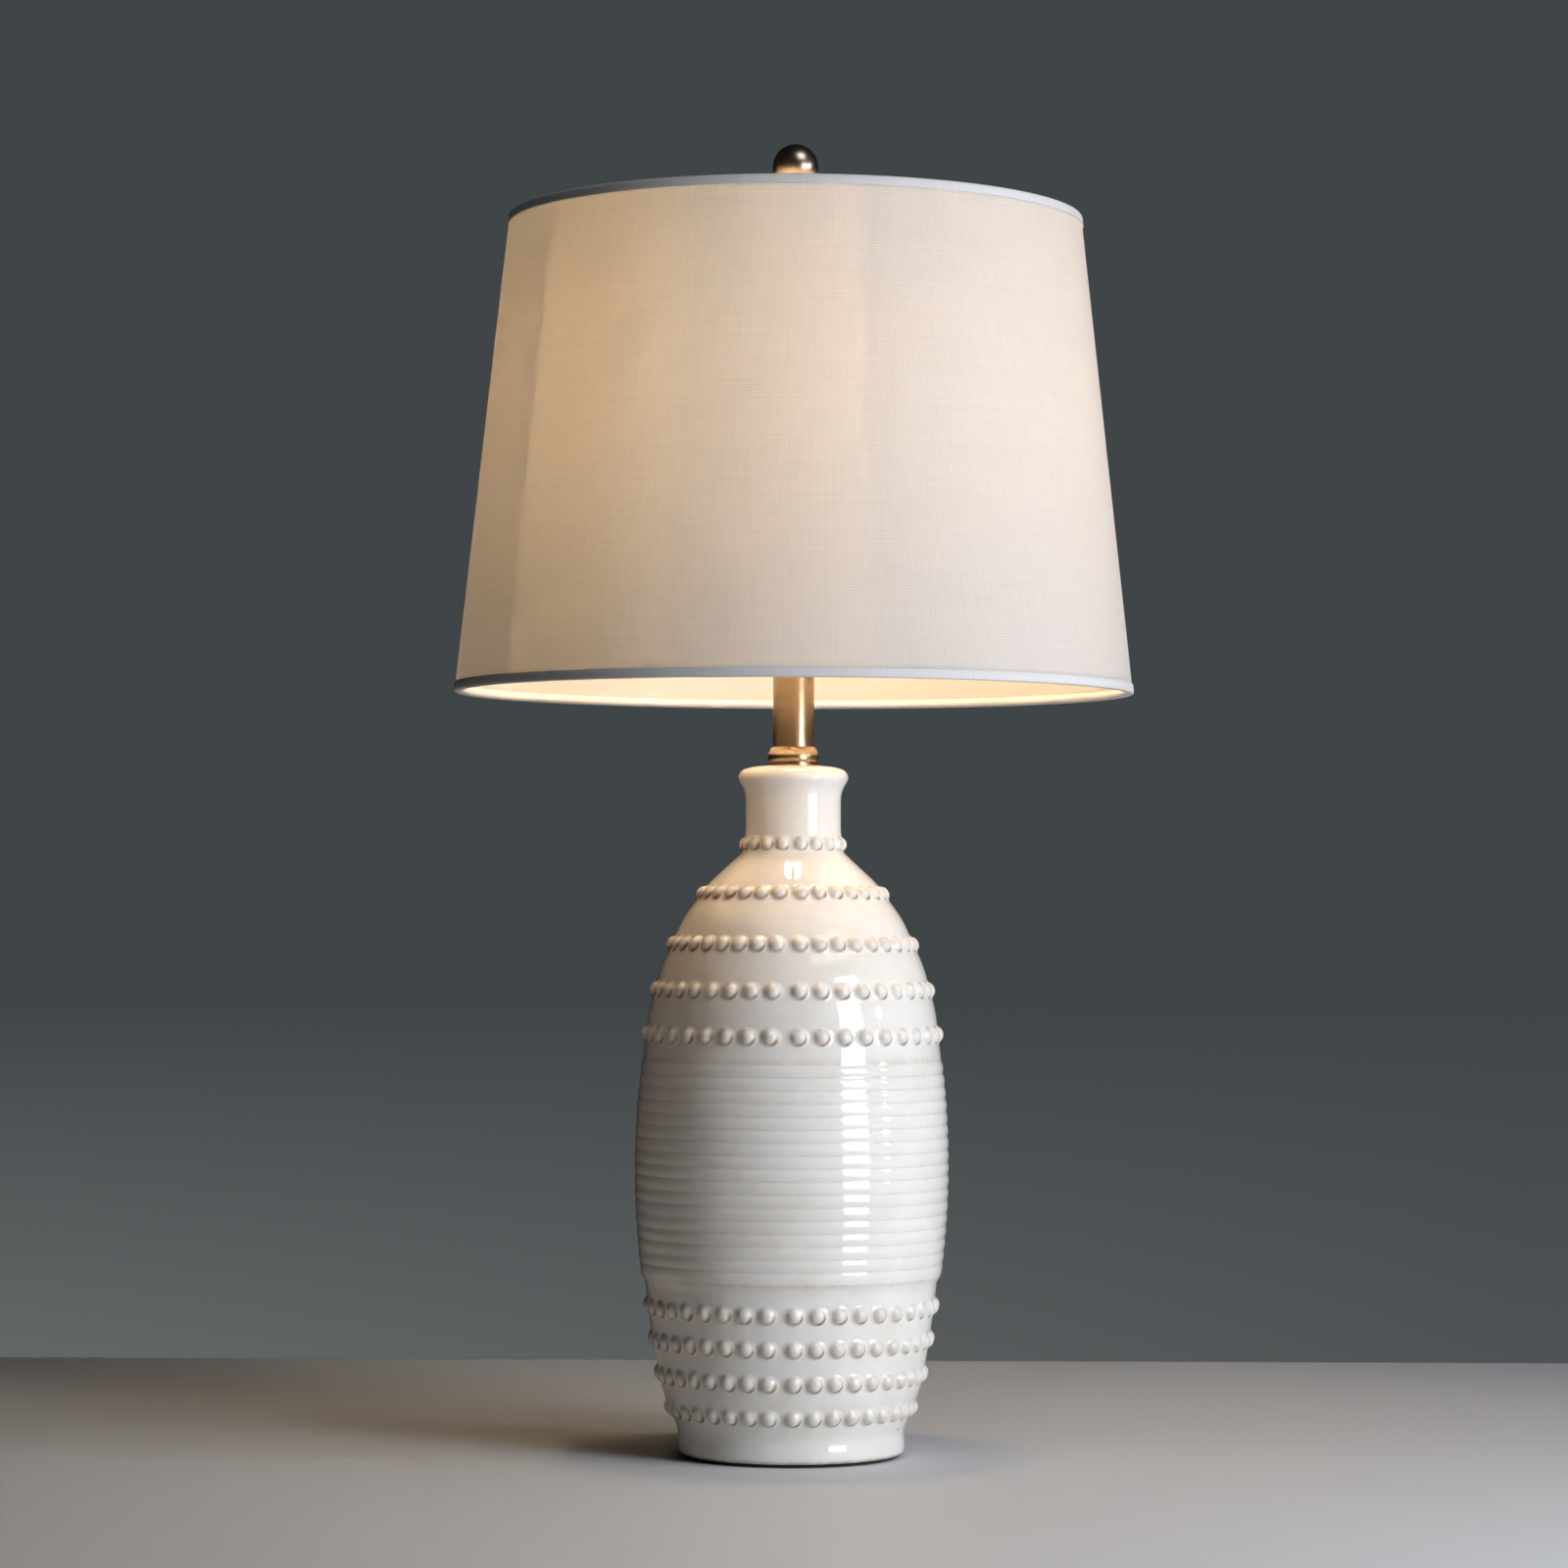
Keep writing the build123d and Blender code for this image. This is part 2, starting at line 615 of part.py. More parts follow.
def bulb_outline(centre, inset):
    """The envelope's outline from its neck to its crown, moved in by the glass."""
    radius = BULB_RADIUS - inset
    neck = BULB_NECK_RADIUS - inset
    flank_angle = radians(-28)
    flank = at(radius * cos(flank_angle), centre + radius * sin(flank_angle))
    skirt = Line(at(neck, BULB_CAP_TOP - 2), at(neck, BULB_CAP_TOP + 1))
    blend = Spline(skirt @ 1, flank, tangents=[at(0, 1), at(-sin(flank_angle), cos(flank_angle))])
    crown = ThreePointArc(
        flank, at(radius * cos(radians(30)), centre + radius * sin(radians(30))), at(0, centre + radius)
    )
    return [skirt, blend, crown]


def bulb_cap():
    """The bulb's metal screw cap."""
    outer, sheet = BULB_CAP_RADIUS, 0.4
    return turned_polygon(
        (BULB_CAP_MOUTH, BULB_CAP_BOTTOM),
        (outer - 1.5, BULB_CAP_BOTTOM),
        (outer, BULB_CAP_BOTTOM + 2),
        (outer, BULB_CAP_TOP),
        (outer - sheet, BULB_CAP_TOP),
        (outer - sheet, BULB_CAP_BOTTOM + 2.2),
        (outer - 1.7, BULB_CAP_BOTTOM + sheet),
        (BULB_CAP_MOUTH, BULB_CAP_BOTTOM + sheet),
    )


def bulb_insulator():
    """The dark glass cone between the cap and the foot contact."""
    bottom = CONTACT_TOP + BULB_CONTACT[1]
    plug_radius = BULB_CAP_MOUTH - 0.1
    return turned_polygon(
        (0, bottom),
        (4.8, bottom),
        (9.6, BULB_CAP_BOTTOM),
        (plug_radius, BULB_CAP_BOTTOM),
        (plug_radius, BULB_CAP_BOTTOM + 2.5),
        (0, BULB_CAP_BOTTOM + 2.5),
    )


def bulb_contact():
    """The button on the bulb's foot."""
    radius, thickness = BULB_CONTACT
    return turned_polygon(
        (0, CONTACT_TOP),
        (radius, CONTACT_TOP),
        (radius, CONTACT_TOP + thickness),
        (0, CONTACT_TOP + thickness),
    )


def shade_radius(height, inset):
    """Radius of the shade's cone at a height, moved in from its outer face."""
    share = (height - SHADE_BOTTOM) / (SHADE_TOP - SHADE_BOTTOM)
    return SHADE_BOTTOM_RADIUS + (SHADE_TOP_RADIUS - SHADE_BOTTOM_RADIUS) * share - inset


def cone_band(bottom, top, inset, thickness):
    """A band of the shade's cone between two heights."""
    return turned_polygon(
        (shade_radius(bottom, inset + thickness), bottom),
        (shade_radius(bottom, inset), bottom),
        (shade_radius(top, inset), top),
        (shade_radius(top, inset + thickness), top),
    )


def shade_ring(height):
    """A wire ring behind the liner, inside the hem."""
    inset = HEM + CLOTH + LINER + 3 * SEAT_GAP + RING_WIRE_RADIUS
    return Pos(0, 0, height) * Torus(shade_radius(height, inset) - SEAT_GAP, RING_WIRE_RADIUS)


def shade_hem(edge, inward):
    """A strip of cloth folded over one edge of the shade and its ring.

    edge is the height of the fold, and inward is +1 or -1 towards the middle of the shade.
    """
    depth = 2 * HEM + CLOTH + LINER + 6 * SEAT_GAP + 2 * RING_WIRE_RADIUS
    fold = edge + inward * HEM
    end = edge + inward * HEM_HEIGHT
    corners = ((edge, 0), (end, 0), (end, HEM), (fold, HEM))
    corners += ((fold, depth - HEM), (end, depth - HEM), (end, depth))
    outline = [(shade_radius(height, inset), height) for height, inset in corners]
    return turned_polygon(*outline, (shade_radius(edge, depth), edge))


def spokes(radius, height, outer_end):
    """Three straight bars from the hub out to a radius."""
    start, end = at(HUB_RADIUS - 1, height), at(outer_end, height)
    return [Rot(0, 0, angle) * rod(radius, start, end) for angle in SPOKE_ANGLES]


def shade_parts():
    """Cloth, liner, rings, hems and the three-armed spider."""
    bottom, top = SHADE_BOTTOM + HEM + SEAT_GAP, SHADE_TOP - HEM - SEAT_GAP
    cloth_inset = HEM + SEAT_GAP
    liner_inset = cloth_inset + CLOTH + SEAT_GAP
    bottom_ring_height = bottom + RING_WIRE_RADIUS + SEAT_GAP
    top_ring_height = top - RING_WIRE_RADIUS - SEAT_GAP
    hub = tube(HUB_RADIUS, HUB_HOLE_RADIUS, SPIDER_SEAT, FINIAL_SEAT)
    top_ring = shade_ring(top_ring_height)
    ring_radius = shade_radius(top_ring_height, liner_inset + LINER + RING_WIRE_RADIUS)
    spoke_height = SPIDER_SEAT + HUB_THICKNESS / 2
    hub_core = Pos(0, 0, spoke_height) * Cylinder(HUB_RADIUS, 6)
    arms = [arm - hub_core - top_ring for arm in spokes(SPOKE_RADIUS, spoke_height, ring_radius)]
    arms = [arm.solids().sort_by(SortBy.VOLUME)[-1] for arm in arms]
    top_hem = shade_hem(SHADE_TOP, -1)
    for notch in spokes(SPOKE_RADIUS + FREE_GAP, spoke_height, ring_radius):
        top_hem -= notch
    return {
        "shade_cloth": cone_band(bottom, top, cloth_inset, CLOTH),
        "shade_liner": cone_band(bottom, top, liner_inset, LINER),
        "shade_top_ring": top_ring,
        "shade_bottom_ring": shade_ring(bottom_ring_height),
        "shade_top_hem": top_hem,
        "shade_bottom_hem": shade_hem(SHADE_BOTTOM, 1),
        "spider_hub": hub,
        "spider_spokes": Compound(children=arms),
    }


def finial_ball():
    """The ball finial on its turned neck, bored for the threaded insert."""
    bore = INSERT_RADIUS + SEAT_GAP
    bore_top = FINIAL_SEAT + INSERT_LENGTH + SEAT_GAP
    join_radius = 5.4
    join = BALL_CENTRE - (BALL_RADIUS**2 - join_radius**2) ** 0.5
    foot = Polyline(
        at(bore, FINIAL_SEAT), at(6.4, FINIAL_SEAT), at(6.6, FINIAL_SEAT + 0.4), at(6.6, FINIAL_SEAT + 1.8)
    )
    cove = ThreePointArc(foot @ 1, at(5.1, FINIAL_SEAT + 7.5), at(6.2, FINIAL_SEAT + 14))
    collar = Polyline(cove @ 1, at(6.2, FINIAL_SEAT + 15.6), at(join_radius, join))
    ball = ThreePointArc(collar @ 1, at(BALL_RADIUS, BALL_CENTRE), at(0, BALL_CENTRE + BALL_RADIUS))
    hole = Polyline(ball @ 1, at(0, bore_top), at(bore, bore_top), at(bore, FINIAL_SEAT))
    return turned(foot, cove, collar, ball, hole)


nodes = {
    "foot_pad": turned_polygon((0, 0), (PAD_RADIUS, 0), (PAD_RADIUS, PAD_TOP), (0, PAD_TOP)),
    "ceramic_body": ceramic_body(),
    "cord_bushing": cord_bushing(),
    "lamp_pipe": tube(PIPE_RADIUS, PIPE_BORE_RADIUS, PIPE_BOTTOM, PIPE_TOP),
    **base_fasteners(),
    "neck_collar": neck_collar(),
    "neck_tube": tube(TUBE_RADIUS, TUBE_RADIUS - TUBE_WALL, COLLAR_TOP, TUBE_TOP),
    "neck_check_ring": tube(CHECK_RING[0], PIPE_RADIUS + SEAT_GAP, TUBE_TOP, SADDLE_BOTTOM),
    "harp_saddle": harp_saddle(),
    "harp": harp(),
    "harp_stud": harp_stud(),
    "harp_sleeve_left": harp_sleeve(-LEG_SPACING / 2),
    "harp_sleeve_right": harp_sleeve(LEG_SPACING / 2),
    "socket_cap": socket_cap(),
    "socket_shell": socket_shell(),
    "socket_liner": socket_liner(),
    "socket_interior": socket_interior(),
    "socket_screw_shell": screw_shell(),
    "socket_contact": centre_contact(),
    "terminal_screws": terminal_screws(),
    "switch_shaft": switch_shaft(),
    "switch_knob": switch_knob(),
    "bulb_envelope": bulb_envelope(),
    "bulb_cap": bulb_cap(),
    "bulb_insulator": bulb_insulator(),
    "bulb_contact": bulb_contact(),
    **shade_parts(),
    "finial_ball": finial_ball(),
    "finial_insert": tube(INSERT_RADIUS, STUD_RADIUS + RUN_GAP, FINIAL_SEAT, FINIAL_SEAT + INSERT_LENGTH),
}

for name, shape in nodes.items():
    export_step(shape, f"parts/{name}.step")
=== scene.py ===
"""Looks of the table lamp: glazed ceramic base, nickel neck, lit bulb and linen shade, in a plain studio."""

import logging
import math
from dataclasses import dataclass, field
from enum import Enum
from typing import Sequence

import bpy
from mathutils import Matrix, Vector


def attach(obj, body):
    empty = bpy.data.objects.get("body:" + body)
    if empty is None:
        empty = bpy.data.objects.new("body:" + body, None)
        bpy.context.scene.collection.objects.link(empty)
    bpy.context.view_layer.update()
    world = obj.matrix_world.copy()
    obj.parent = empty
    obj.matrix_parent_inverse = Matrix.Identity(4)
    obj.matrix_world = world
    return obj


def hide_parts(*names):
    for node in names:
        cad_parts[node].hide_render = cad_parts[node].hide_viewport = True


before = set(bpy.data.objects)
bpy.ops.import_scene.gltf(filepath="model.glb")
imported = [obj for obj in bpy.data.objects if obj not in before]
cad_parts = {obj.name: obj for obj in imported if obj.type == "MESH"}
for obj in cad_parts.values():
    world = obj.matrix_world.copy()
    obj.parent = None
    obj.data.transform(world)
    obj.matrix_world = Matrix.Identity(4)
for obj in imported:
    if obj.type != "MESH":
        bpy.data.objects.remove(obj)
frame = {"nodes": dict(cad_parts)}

LOG = logging.getLogger("lamp")
MM = 0.001
Point = tuple[float, float]
Colour = tuple[float, float, float, float]


class Grain(Enum):
    """How a metal was worked, which sets the lines on it."""

    PLAIN = "plain"
    TURNED = "turned"
    DRAWN = "drawn"


# repeats per metre along X, Y and Z of the lines that each way of working leaves
GRAIN_SCALES = {Grain.TURNED: (40.0, 40.0, 9000.0), Grain.DRAWN: (4200.0, 4200.0, 60.0)}


class Weave(Enum):
    """How the threads of a cloth lie: crossing evenly, or with the upright threads on top."""

    PLAIN = "plain"
    CORDED = "corded"


def linear(hex_code: str) -> Colour:
    """Turn an sRGB hex code into the linear colour that shaders take.

    Args:
        hex_code: six hex digits with a leading hash.

    Returns:
        Linear red, green, blue and alpha.
    """
    channels = [int(hex_code[i : i + 2], 16) / 255 for i in (1, 3, 5)]
    bright = [c / 12.92 if c <= 0.04045 else ((c + 0.055) / 1.055) ** 2.4 for c in channels]
    return (bright[0], bright[1], bright[2], 1.0)


def add(tree: bpy.types.NodeTree, kind: str, inputs: dict | None = None, **settings: object) -> bpy.types.Node:
    """Add one shader node.

    Args:
        tree: the node tree it goes into.
        kind: the node's type name without the ShaderNode prefix.
        inputs: socket name or number to a value, or to an output socket to link.
        settings: properties of the node itself.

    Returns:
        The new node.
    """
    node = tree.nodes.new("ShaderNode" + kind)
    for name, value in settings.items():
        setattr(node, name, value)
    for name, value in (inputs or {}).items():
        if isinstance(value, bpy.types.NodeSocket):
            tree.links.new(value, node.inputs[name])
        else:
            node.inputs[name].default_value = value
    return node


def new_material(name: str) -> tuple[bpy.types.Material, bpy.types.NodeTree, bpy.types.Node]:
    """Start a material with an empty tree.

    Args:
        name: the real material and how it was worked.

    Returns:
        The material, its tree and its output node.
    """
    material = bpy.data.materials.new(name)
    material.use_nodes = True
    tree = material.node_tree
    tree.nodes.clear()
    return material, tree, add(tree, "OutputMaterial")


def maths(tree: bpy.types.NodeTree, operation: str, *values: object) -> bpy.types.NodeSocket:
    """Add a Math node and give its result.

    Args:
        tree: the node tree.
        operation: the Math node's operation.
        values: numbers or sockets for its inputs, in order.

    Returns:
        The output socket.
    """
    return add(tree, "Math", dict(enumerate(values)), operation=operation).outputs[0]


def mixed(tree: bpy.types.NodeTree, share: object, first: object, second: object) -> bpy.types.NodeSocket:
    """Blend two colours.

    Args:
        tree: the node tree.
        share: number or socket, 0 for the first colour and 1 for the second.
        first: colour or socket.
        second: colour or socket.

    Returns:
        The blended colour's socket.
    """
    node = add(tree, "Mix", {0: share, 6: first, 7: second}, data_type="RGBA")
    return node.outputs[2]


def place_coordinates(tree: bpy.types.NodeTree, scale: tuple[float, float, float]) -> bpy.types.NodeSocket:
    """Object coordinates times a scale per axis.

    Args:
        tree: the node tree.
        scale: repeats per metre along X, Y and Z.

    Returns:
        The vector socket.
    """
    source = add(tree, "TexCoord").outputs["Object"]
    return add(tree, "Mapping", {"Vector": source, "Scale": scale}).outputs[0]


@dataclass(frozen=True)
class Metal:
    """A bare metal: its grey, how rough it is and the marks of working it."""

    name: str
    tone: str
    roughness: float
    grain: Grain = Grain.PLAIN
    depth_mm: float = 0.003
    uneven: float = 0.15

    def make(self) -> bpy.types.Material:
        """Build the material.

        Returns:
            The finished metal.
        """
        material, tree, output = new_material(self.name)
        skin = add(tree, "BsdfPrincipled", {"Base Color": linear(self.tone), "Metallic": 1.0})
        skin.inputs["Roughness"].default_value = self.roughness
        if self.grain is not Grain.PLAIN:
            # fine lines round the turned metal, or along the drawn wire, that spread a highlight across them
            place = place_coordinates(tree, GRAIN_SCALES[self.grain])
            lines = add(tree, "TexNoise", {"Vector": place, "Scale": 1.0, "Detail": 2.0})
            smooth, rough = self.roughness * (1 - self.uneven), self.roughness * (1 + self.uneven)
            spread = add(tree, "MapRange", {"Value": lines.outputs[0], "To Min": smooth, "To Max": rough})
            tree.links.new(spread.outputs[0], skin.inputs["Roughness"])
            bump = add(tree, "Bump", {"Height": lines.outputs[0], "Distance": self.depth_mm * MM, "Strength": 0.25})
            tree.links.new(bump.outputs[0], skin.inputs["Normal"])
        tree.links.new(skin.outputs[0], output.inputs["Surface"])
        return material


@dataclass(frozen=True)
class Moulding:
    """A plain moulded, painted or pressed stuff with a faint grain."""

    name: str
    tone: str
    roughness: float
    grain_per_metre: float = 900.0
    depth_mm: float = 0.02
    sheen: float = 0.0

    def make(self) -> bpy.types.Material:
        """Build the material.

        Returns:
            The finished stuff.
        """
        material, tree, output = new_material(self.name)
        scale = (self.grain_per_metre,) * 3
        grain = add(tree, "TexNoise", {"Vector": place_coordinates(tree, scale), "Scale": 1.0, "Detail": 3.0})
        bump = add(tree, "Bump", {"Height": grain.outputs[0], "Distance": self.depth_mm * MM, "Strength": 0.4})
        skin = add(
            tree,
            "BsdfPrincipled",
            {
                "Base Color": linear(self.tone),
                "Roughness": self.roughness,
                "Sheen Weight": self.sheen,
                "Normal": bump.outputs[0],
            },
        )
        tree.links.new(skin.outputs[0], output.inputs["Surface"])
        return material


@dataclass(frozen=True)
class Glaze:
    """Glossy white glaze over buff clay: thin on edges and in grooves, where the clay shows tan."""

    name: str = "white_gloss_glaze_on_buff_clay"
    pooled: str = "#F4EEE4"
    veiled: str = "#E4DACB"
    clay: str = "#A67E54"
    speck: str = "#5A4632"
    roughness: float = 0.025
    ripple_mm: float = 0.3
    speck_size: float = 0.035
    speck_rarity: float = 0.82

    def make(self) -> bpy.types.Material:
        """Build the material.

        Returns:
            The glaze, which reads the thinness attribute of the mesh.
        """
        material, tree, output = new_material(self.name)
        thin = add(tree, "Attribute", attribute_name="thinness").outputs["Fac"]
        # soft clouding where the glaze lies thicker and thinner
        cloud = add(tree, "TexNoise", {"Vector": place_coordinates(tree, (34.0,) * 3), "Scale": 1.0, "Detail": 4.0})
        veil = add(tree, "MapRange", {"Value": cloud.outputs[0], "From Min": 0.45, "From Max": 0.75, "To Max": 0.5})
        body = mixed(tree, veil.outputs[0], linear(self.pooled), linear(self.veiled))
        # the tan break line wanders, because the glaze ran while it was molten
        run = add(tree, "TexNoise", {"Vector": place_coordinates(tree, (210.0,) * 3), "Scale": 1.0, "Detail": 3.0})
        wander = add(tree, "MapRange", {"Value": run.outputs[0], "From Min": 0.3, "From Max": 0.7, "To Min": 0.35})
        share = maths(tree, "MULTIPLY", thin, wander.outputs[0])
        broken = mixed(tree, share, body, linear(self.clay))
        # sparse iron specks under the glaze
        grit = add(tree, "TexVoronoi", {"Vector": place_coordinates(tree, (55.0,) * 3), "Scale": 1.0})
        dot = maths(tree, "LESS_THAN", grit.outputs["Distance"], self.speck_size)
        rare = maths(tree, "GREATER_THAN", grit.outputs["Color"], self.speck_rarity)
        speckled = mixed(tree, maths(tree, "MULTIPLY", dot, rare), broken, linear(self.speck))
        # the molten surface set in slow ripples that bend a reflection
        wave = add(tree, "TexNoise", {"Vector": place_coordinates(tree, (48.0,) * 3), "Scale": 1.0, "Detail": 1.0})
        bump = add(tree, "Bump", {"Height": wave.outputs[0], "Distance": self.ripple_mm * MM, "Strength": 0.25})
        skin = add(
            tree,
            "BsdfPrincipled",
            {
                "Base Color": speckled,
                "Roughness": self.roughness,
                "IOR": 1.52,
                "Normal": bump.outputs[0],
            },
        )
        tree.links.new(skin.outputs[0], output.inputs["Surface"])
        return material


@dataclass(frozen=True)
class Linen:
    """Woven cloth: crossing threads with slubs; light from behind comes through an open weave."""

    name: str
    tone: str
    shadow: str
    through: str
    passes: float
    weave: Weave = Weave.PLAIN
    threads_round: int = 800
    threads_per_metre: float = 830.0
    depth_mm: float = 0.14
    contrast: float = 0.4

    def make(self) -> bpy.types.Material:
        """Build the material.

        Returns:
            The cloth, woven round the lamp's axis.
        """
        material, tree, output = new_material(self.name)
        place = add(tree, "SeparateXYZ", {0: add(tree, "TexCoord").outputs["Object"]})
        turn = maths(tree, "ARCTAN2", place.outputs["Y"], place.outputs["X"])
        warp = maths(tree, "SINE", maths(tree, "MULTIPLY", turn, self.threads_round / 2))
        weft = maths(tree, "SINE", maths(tree, "MULTIPLY", place.outputs["Z"], self.threads_per_metre * math.pi))
        # a plain weave has a knuckle at each crossing; a corded one shows unbroken upright threads
        knuckle = maths(tree, "MULTIPLY", warp, weft) if self.weave is Weave.PLAIN else warp
        over = maths(tree, "ABSOLUTE", knuckle)
        # thick and thin places in the yarn, long round the shade and long up it
        slub_round = add(tree, "TexNoise", {"Vector": place_coordinates(tree, (22.0, 22.0, 800.0)), "Scale": 1.0})
        slub_up = add(tree, "TexNoise", {"Vector": place_coordinates(tree, (650.0, 650.0, 18.0)), "Scale": 1.0})
        yarn = maths(tree, "ADD", slub_round.outputs[0], slub_up.outputs[0])
        height = maths(tree, "MULTIPLY_ADD", yarn, 0.45, over)
        bump = add(tree, "Bump", {"Height": height, "Distance": self.depth_mm * MM, "Strength": 0.5})
        # painted shade: the low places between the threads are painted towards the shadow colour, both on the cloth's
        # face and in the light that comes through it
        trough_shade = add(
            tree,
            "MapRange",
            {"Value": height, "From Min": 0.35, "From Max": 1.2, "To Min": self.contrast, "To Max": 0.0},
        )
        colour = mixed(tree, trough_shade.outputs[0], linear(self.tone), linear(self.shadow))
        face = add(
            tree,
            "BsdfPrincipled",
            {"Base Color": colour, "Roughness": 0.9, "Sheen Weight": 0.1, "Normal": bump.outputs[0]},
        )
        if self.passes <= 0:
            tree.links.new(face.outputs[0], output.inputs["Surface"])
            return material
        lit = mixed(tree, trough_shade.outputs[0], linear(self.through), linear(self.shadow))
        glow = add(tree, "BsdfTranslucent", {"Color": lit, "Normal": bump.outputs[0]})
        both = add(tree, "MixShader", {0: self.passes, 1: face.outputs[0], 2: glow.outputs[0]})
        tree.links.new(both.outputs[0], output.inputs["Surface"])
        return material


@dataclass(frozen=True)
class LinerSheet:
    """White styrene film behind the cloth: smooth, milky, and it spreads the bulb's light."""

    name: str = "white_styrene_film"
    tone: str = "#F6F3EC"
    through: str = "#FFFDF8"
    passes: float = 0.6

    def make(self) -> bpy.types.Material:
        """Build the material.

        Returns:
            The film.
        """
        material, tree, output = new_material(self.name)
        face = add(tree, "BsdfPrincipled", {"Base Color": linear(self.tone), "Roughness": 0.5})
        glow = add(tree, "BsdfTranslucent", {"Color": linear(self.through)})
        both = add(tree, "MixShader", {0: self.passes, 1: face.outputs[0], 2: glow.outputs[0]})
        tree.links.new(both.outputs[0], output.inputs["Surface"])
        return material


@dataclass(frozen=True)
class LitGlass:
    """Frosted bulb glass with the lamp on: warm light, brightest round the filament and dim towards the cap."""

    name: str = "frosted_glass_lit_warm"
    tone: str = "#F6EFE2"
    light: str = "#FFDDB5"
    strength: float = 74.0
    dim_height: float = 0.452
    bright_height: float = 0.478
    dim_share: float = 0.25

    def make(self) -> bpy.types.Material:
        """Build the material.

        Returns:
            The glowing glass.
        """
        material, tree, output = new_material(self.name)
        place = add(tree, "SeparateXYZ", {0: place_coordinates(tree, (1.0,) * 3)})
        glow = add(
            tree,
            "MapRange",
            {
                "Value": place.outputs["Z"],
                "From Min": self.dim_height,
                "From Max": self.bright_height,
                "To Min": self.strength * self.dim_share,
                "To Max": self.strength,
            },
        )
        skin = add(
            tree,
            "BsdfPrincipled",
            {
                "Base Color": linear(self.tone),
                "Roughness": 0.3,
                "Emission Color": linear(self.light),
                "Emission Strength": glow.outputs[0],
            },
        )
        tree.links.new(skin.outputs[0], output.inputs["Surface"])
        return material


def dress(piece: bpy.types.Object, *materials: bpy.types.Material) -> None:
    """Give a piece its materials.

    Args:
        piece: the mesh object.
        materials: one per slot, in order.
    """
    piece.data.materials.clear()
    for material in materials:
        piece.data.materials.append(material)


def pick(piece: bpy.types.Object, *others: bpy.types.Object) -> None:
    """Select these pieces alone.

    Args:
        piece: the one to make active.
        others: further pieces to select.
    """
    bpy.ops.object.select_all(action="DESELECT")
    for chosen in (*others, piece):
        chosen.select_set(True)
    bpy.context.view_layer.objects.active = piece


def edit(piece: bpy.types.Object) -> None:
    """Open one piece alone in edit mode with all of it selected.

    Args:
        piece: the mesh object.
    """
    pick(piece)
    bpy.ops.object.mode_set(mode="EDIT")
    bpy.ops.mesh.select_all(action="SELECT")


def close_up() -> None:
    """Weld the open piece's seams and turn its faces outwards, then leave edit mode."""
    bpy.ops.mesh.select_all(action="SELECT")
    bpy.ops.mesh.remove_doubles(threshold=0.002 * MM)
    bpy.ops.mesh.normals_make_consistent(inside=False)
    bpy.ops.object.mode_set(mode="OBJECT")


def draw_outline(name: str, outline: Sequence[Point]) -> bpy.types.Object:
    """Draw an outline by drawing out one corner of a plane from point to point.

    Args:
        name: the new piece's name.
        outline: radius and height of each point, in millimetres.

    Returns:
        The piece, still in edit mode.
    """
    bpy.ops.object.select_all(action="DESELECT")
    bpy.ops.mesh.primitive_plane_add(size=MM, location=(0, 0, 0))
    piece = bpy.context.active_object
    piece.name = name
    piece.data.name = name
    bpy.ops.object.mode_set(mode="EDIT")
    bpy.ops.mesh.select_all(action="SELECT")
    bpy.ops.mesh.merge(type="CENTER")
    bpy.ops.transform.translate(value=(outline[0][0] * MM, 0, outline[0][1] * MM))
    for here, there in zip(outline, outline[1:]):
        step = ((there[0] - here[0]) * MM, 0, (there[1] - here[1]) * MM)
        bpy.ops.mesh.extrude_vertices_move(TRANSFORM_OT_translate={"value": step})
    return piece


def turn_outline(name: str, outline: Sequence[Point], steps: int, sharp_degrees: float = 40.0) -> bpy.types.Object:
    """Spin an outline round the lamp's axis into a closed piece.

    Args:
        name: the new piece's name.
        outline: radius and height of each point, in millimetres; ends on the axis or where it began.
        steps: sides of the turned piece.
        sharp_degrees: edges sharper than this stay crisp.

    Returns:
        The turned piece.
    """
    piece = draw_outline(name, outline)
    bpy.ops.mesh.select_all(action="SELECT")
    bpy.ops.mesh.spin(steps=steps, angle=2 * math.pi, center=(0, 0, 0), axis=(0, 0, 1))
    close_up()
    bpy.ops.object.shade_smooth_by_angle(angle=math.radians(sharp_degrees))
    return piece


def rounded(points: Sequence[Point], radii: Sequence[float], longest: float = 4.0) -> list[Point]:
    """Round the inner corners of an outline.

    Args:
        points: corners in millimetres.
        radii: one radius for each inner corner.
        longest: longest step along straight parts.

    Returns:
        Points along the rounded outline.
    """
    corners = [Vector(point) for point in points]
    made = [corners[0]]
    for before, corner, after, radius in zip(corners, corners[1:], corners[2:], radii):
        back, ahead = (before - corner).normalized(), (after - corner).normalized()
        half = back.angle(ahead) / 2
        middle = corner + (back + ahead).normalized() * radius / math.sin(half)
        start = corner + back * radius / math.tan(half)
        end = corner + ahead * radius / math.tan(half)
        from_middle, to_middle = start - middle, end - middle
        sweep = from_middle.angle(to_middle)
        count = max(3, round(radius * sweep / longest * 2))
        made.append(start)
        for step in range(1, count):
            share = step / count
            near, far = math.sin((1 - share) * sweep), math.sin(share * sweep)
            made.append(middle + (near * from_middle + far * to_middle) / math.sin(sweep))
        made.append(end)
    made.append(corners[-1])
    fine = [made[0]]
    for here, there in zip(made, made[1:]):
        parts = max(1, math.ceil((there - here).length / longest))
        fine += [here.lerp(there, part / parts) for part in range(1, parts + 1)]
    return [(point.x, point.y) for point in fine]


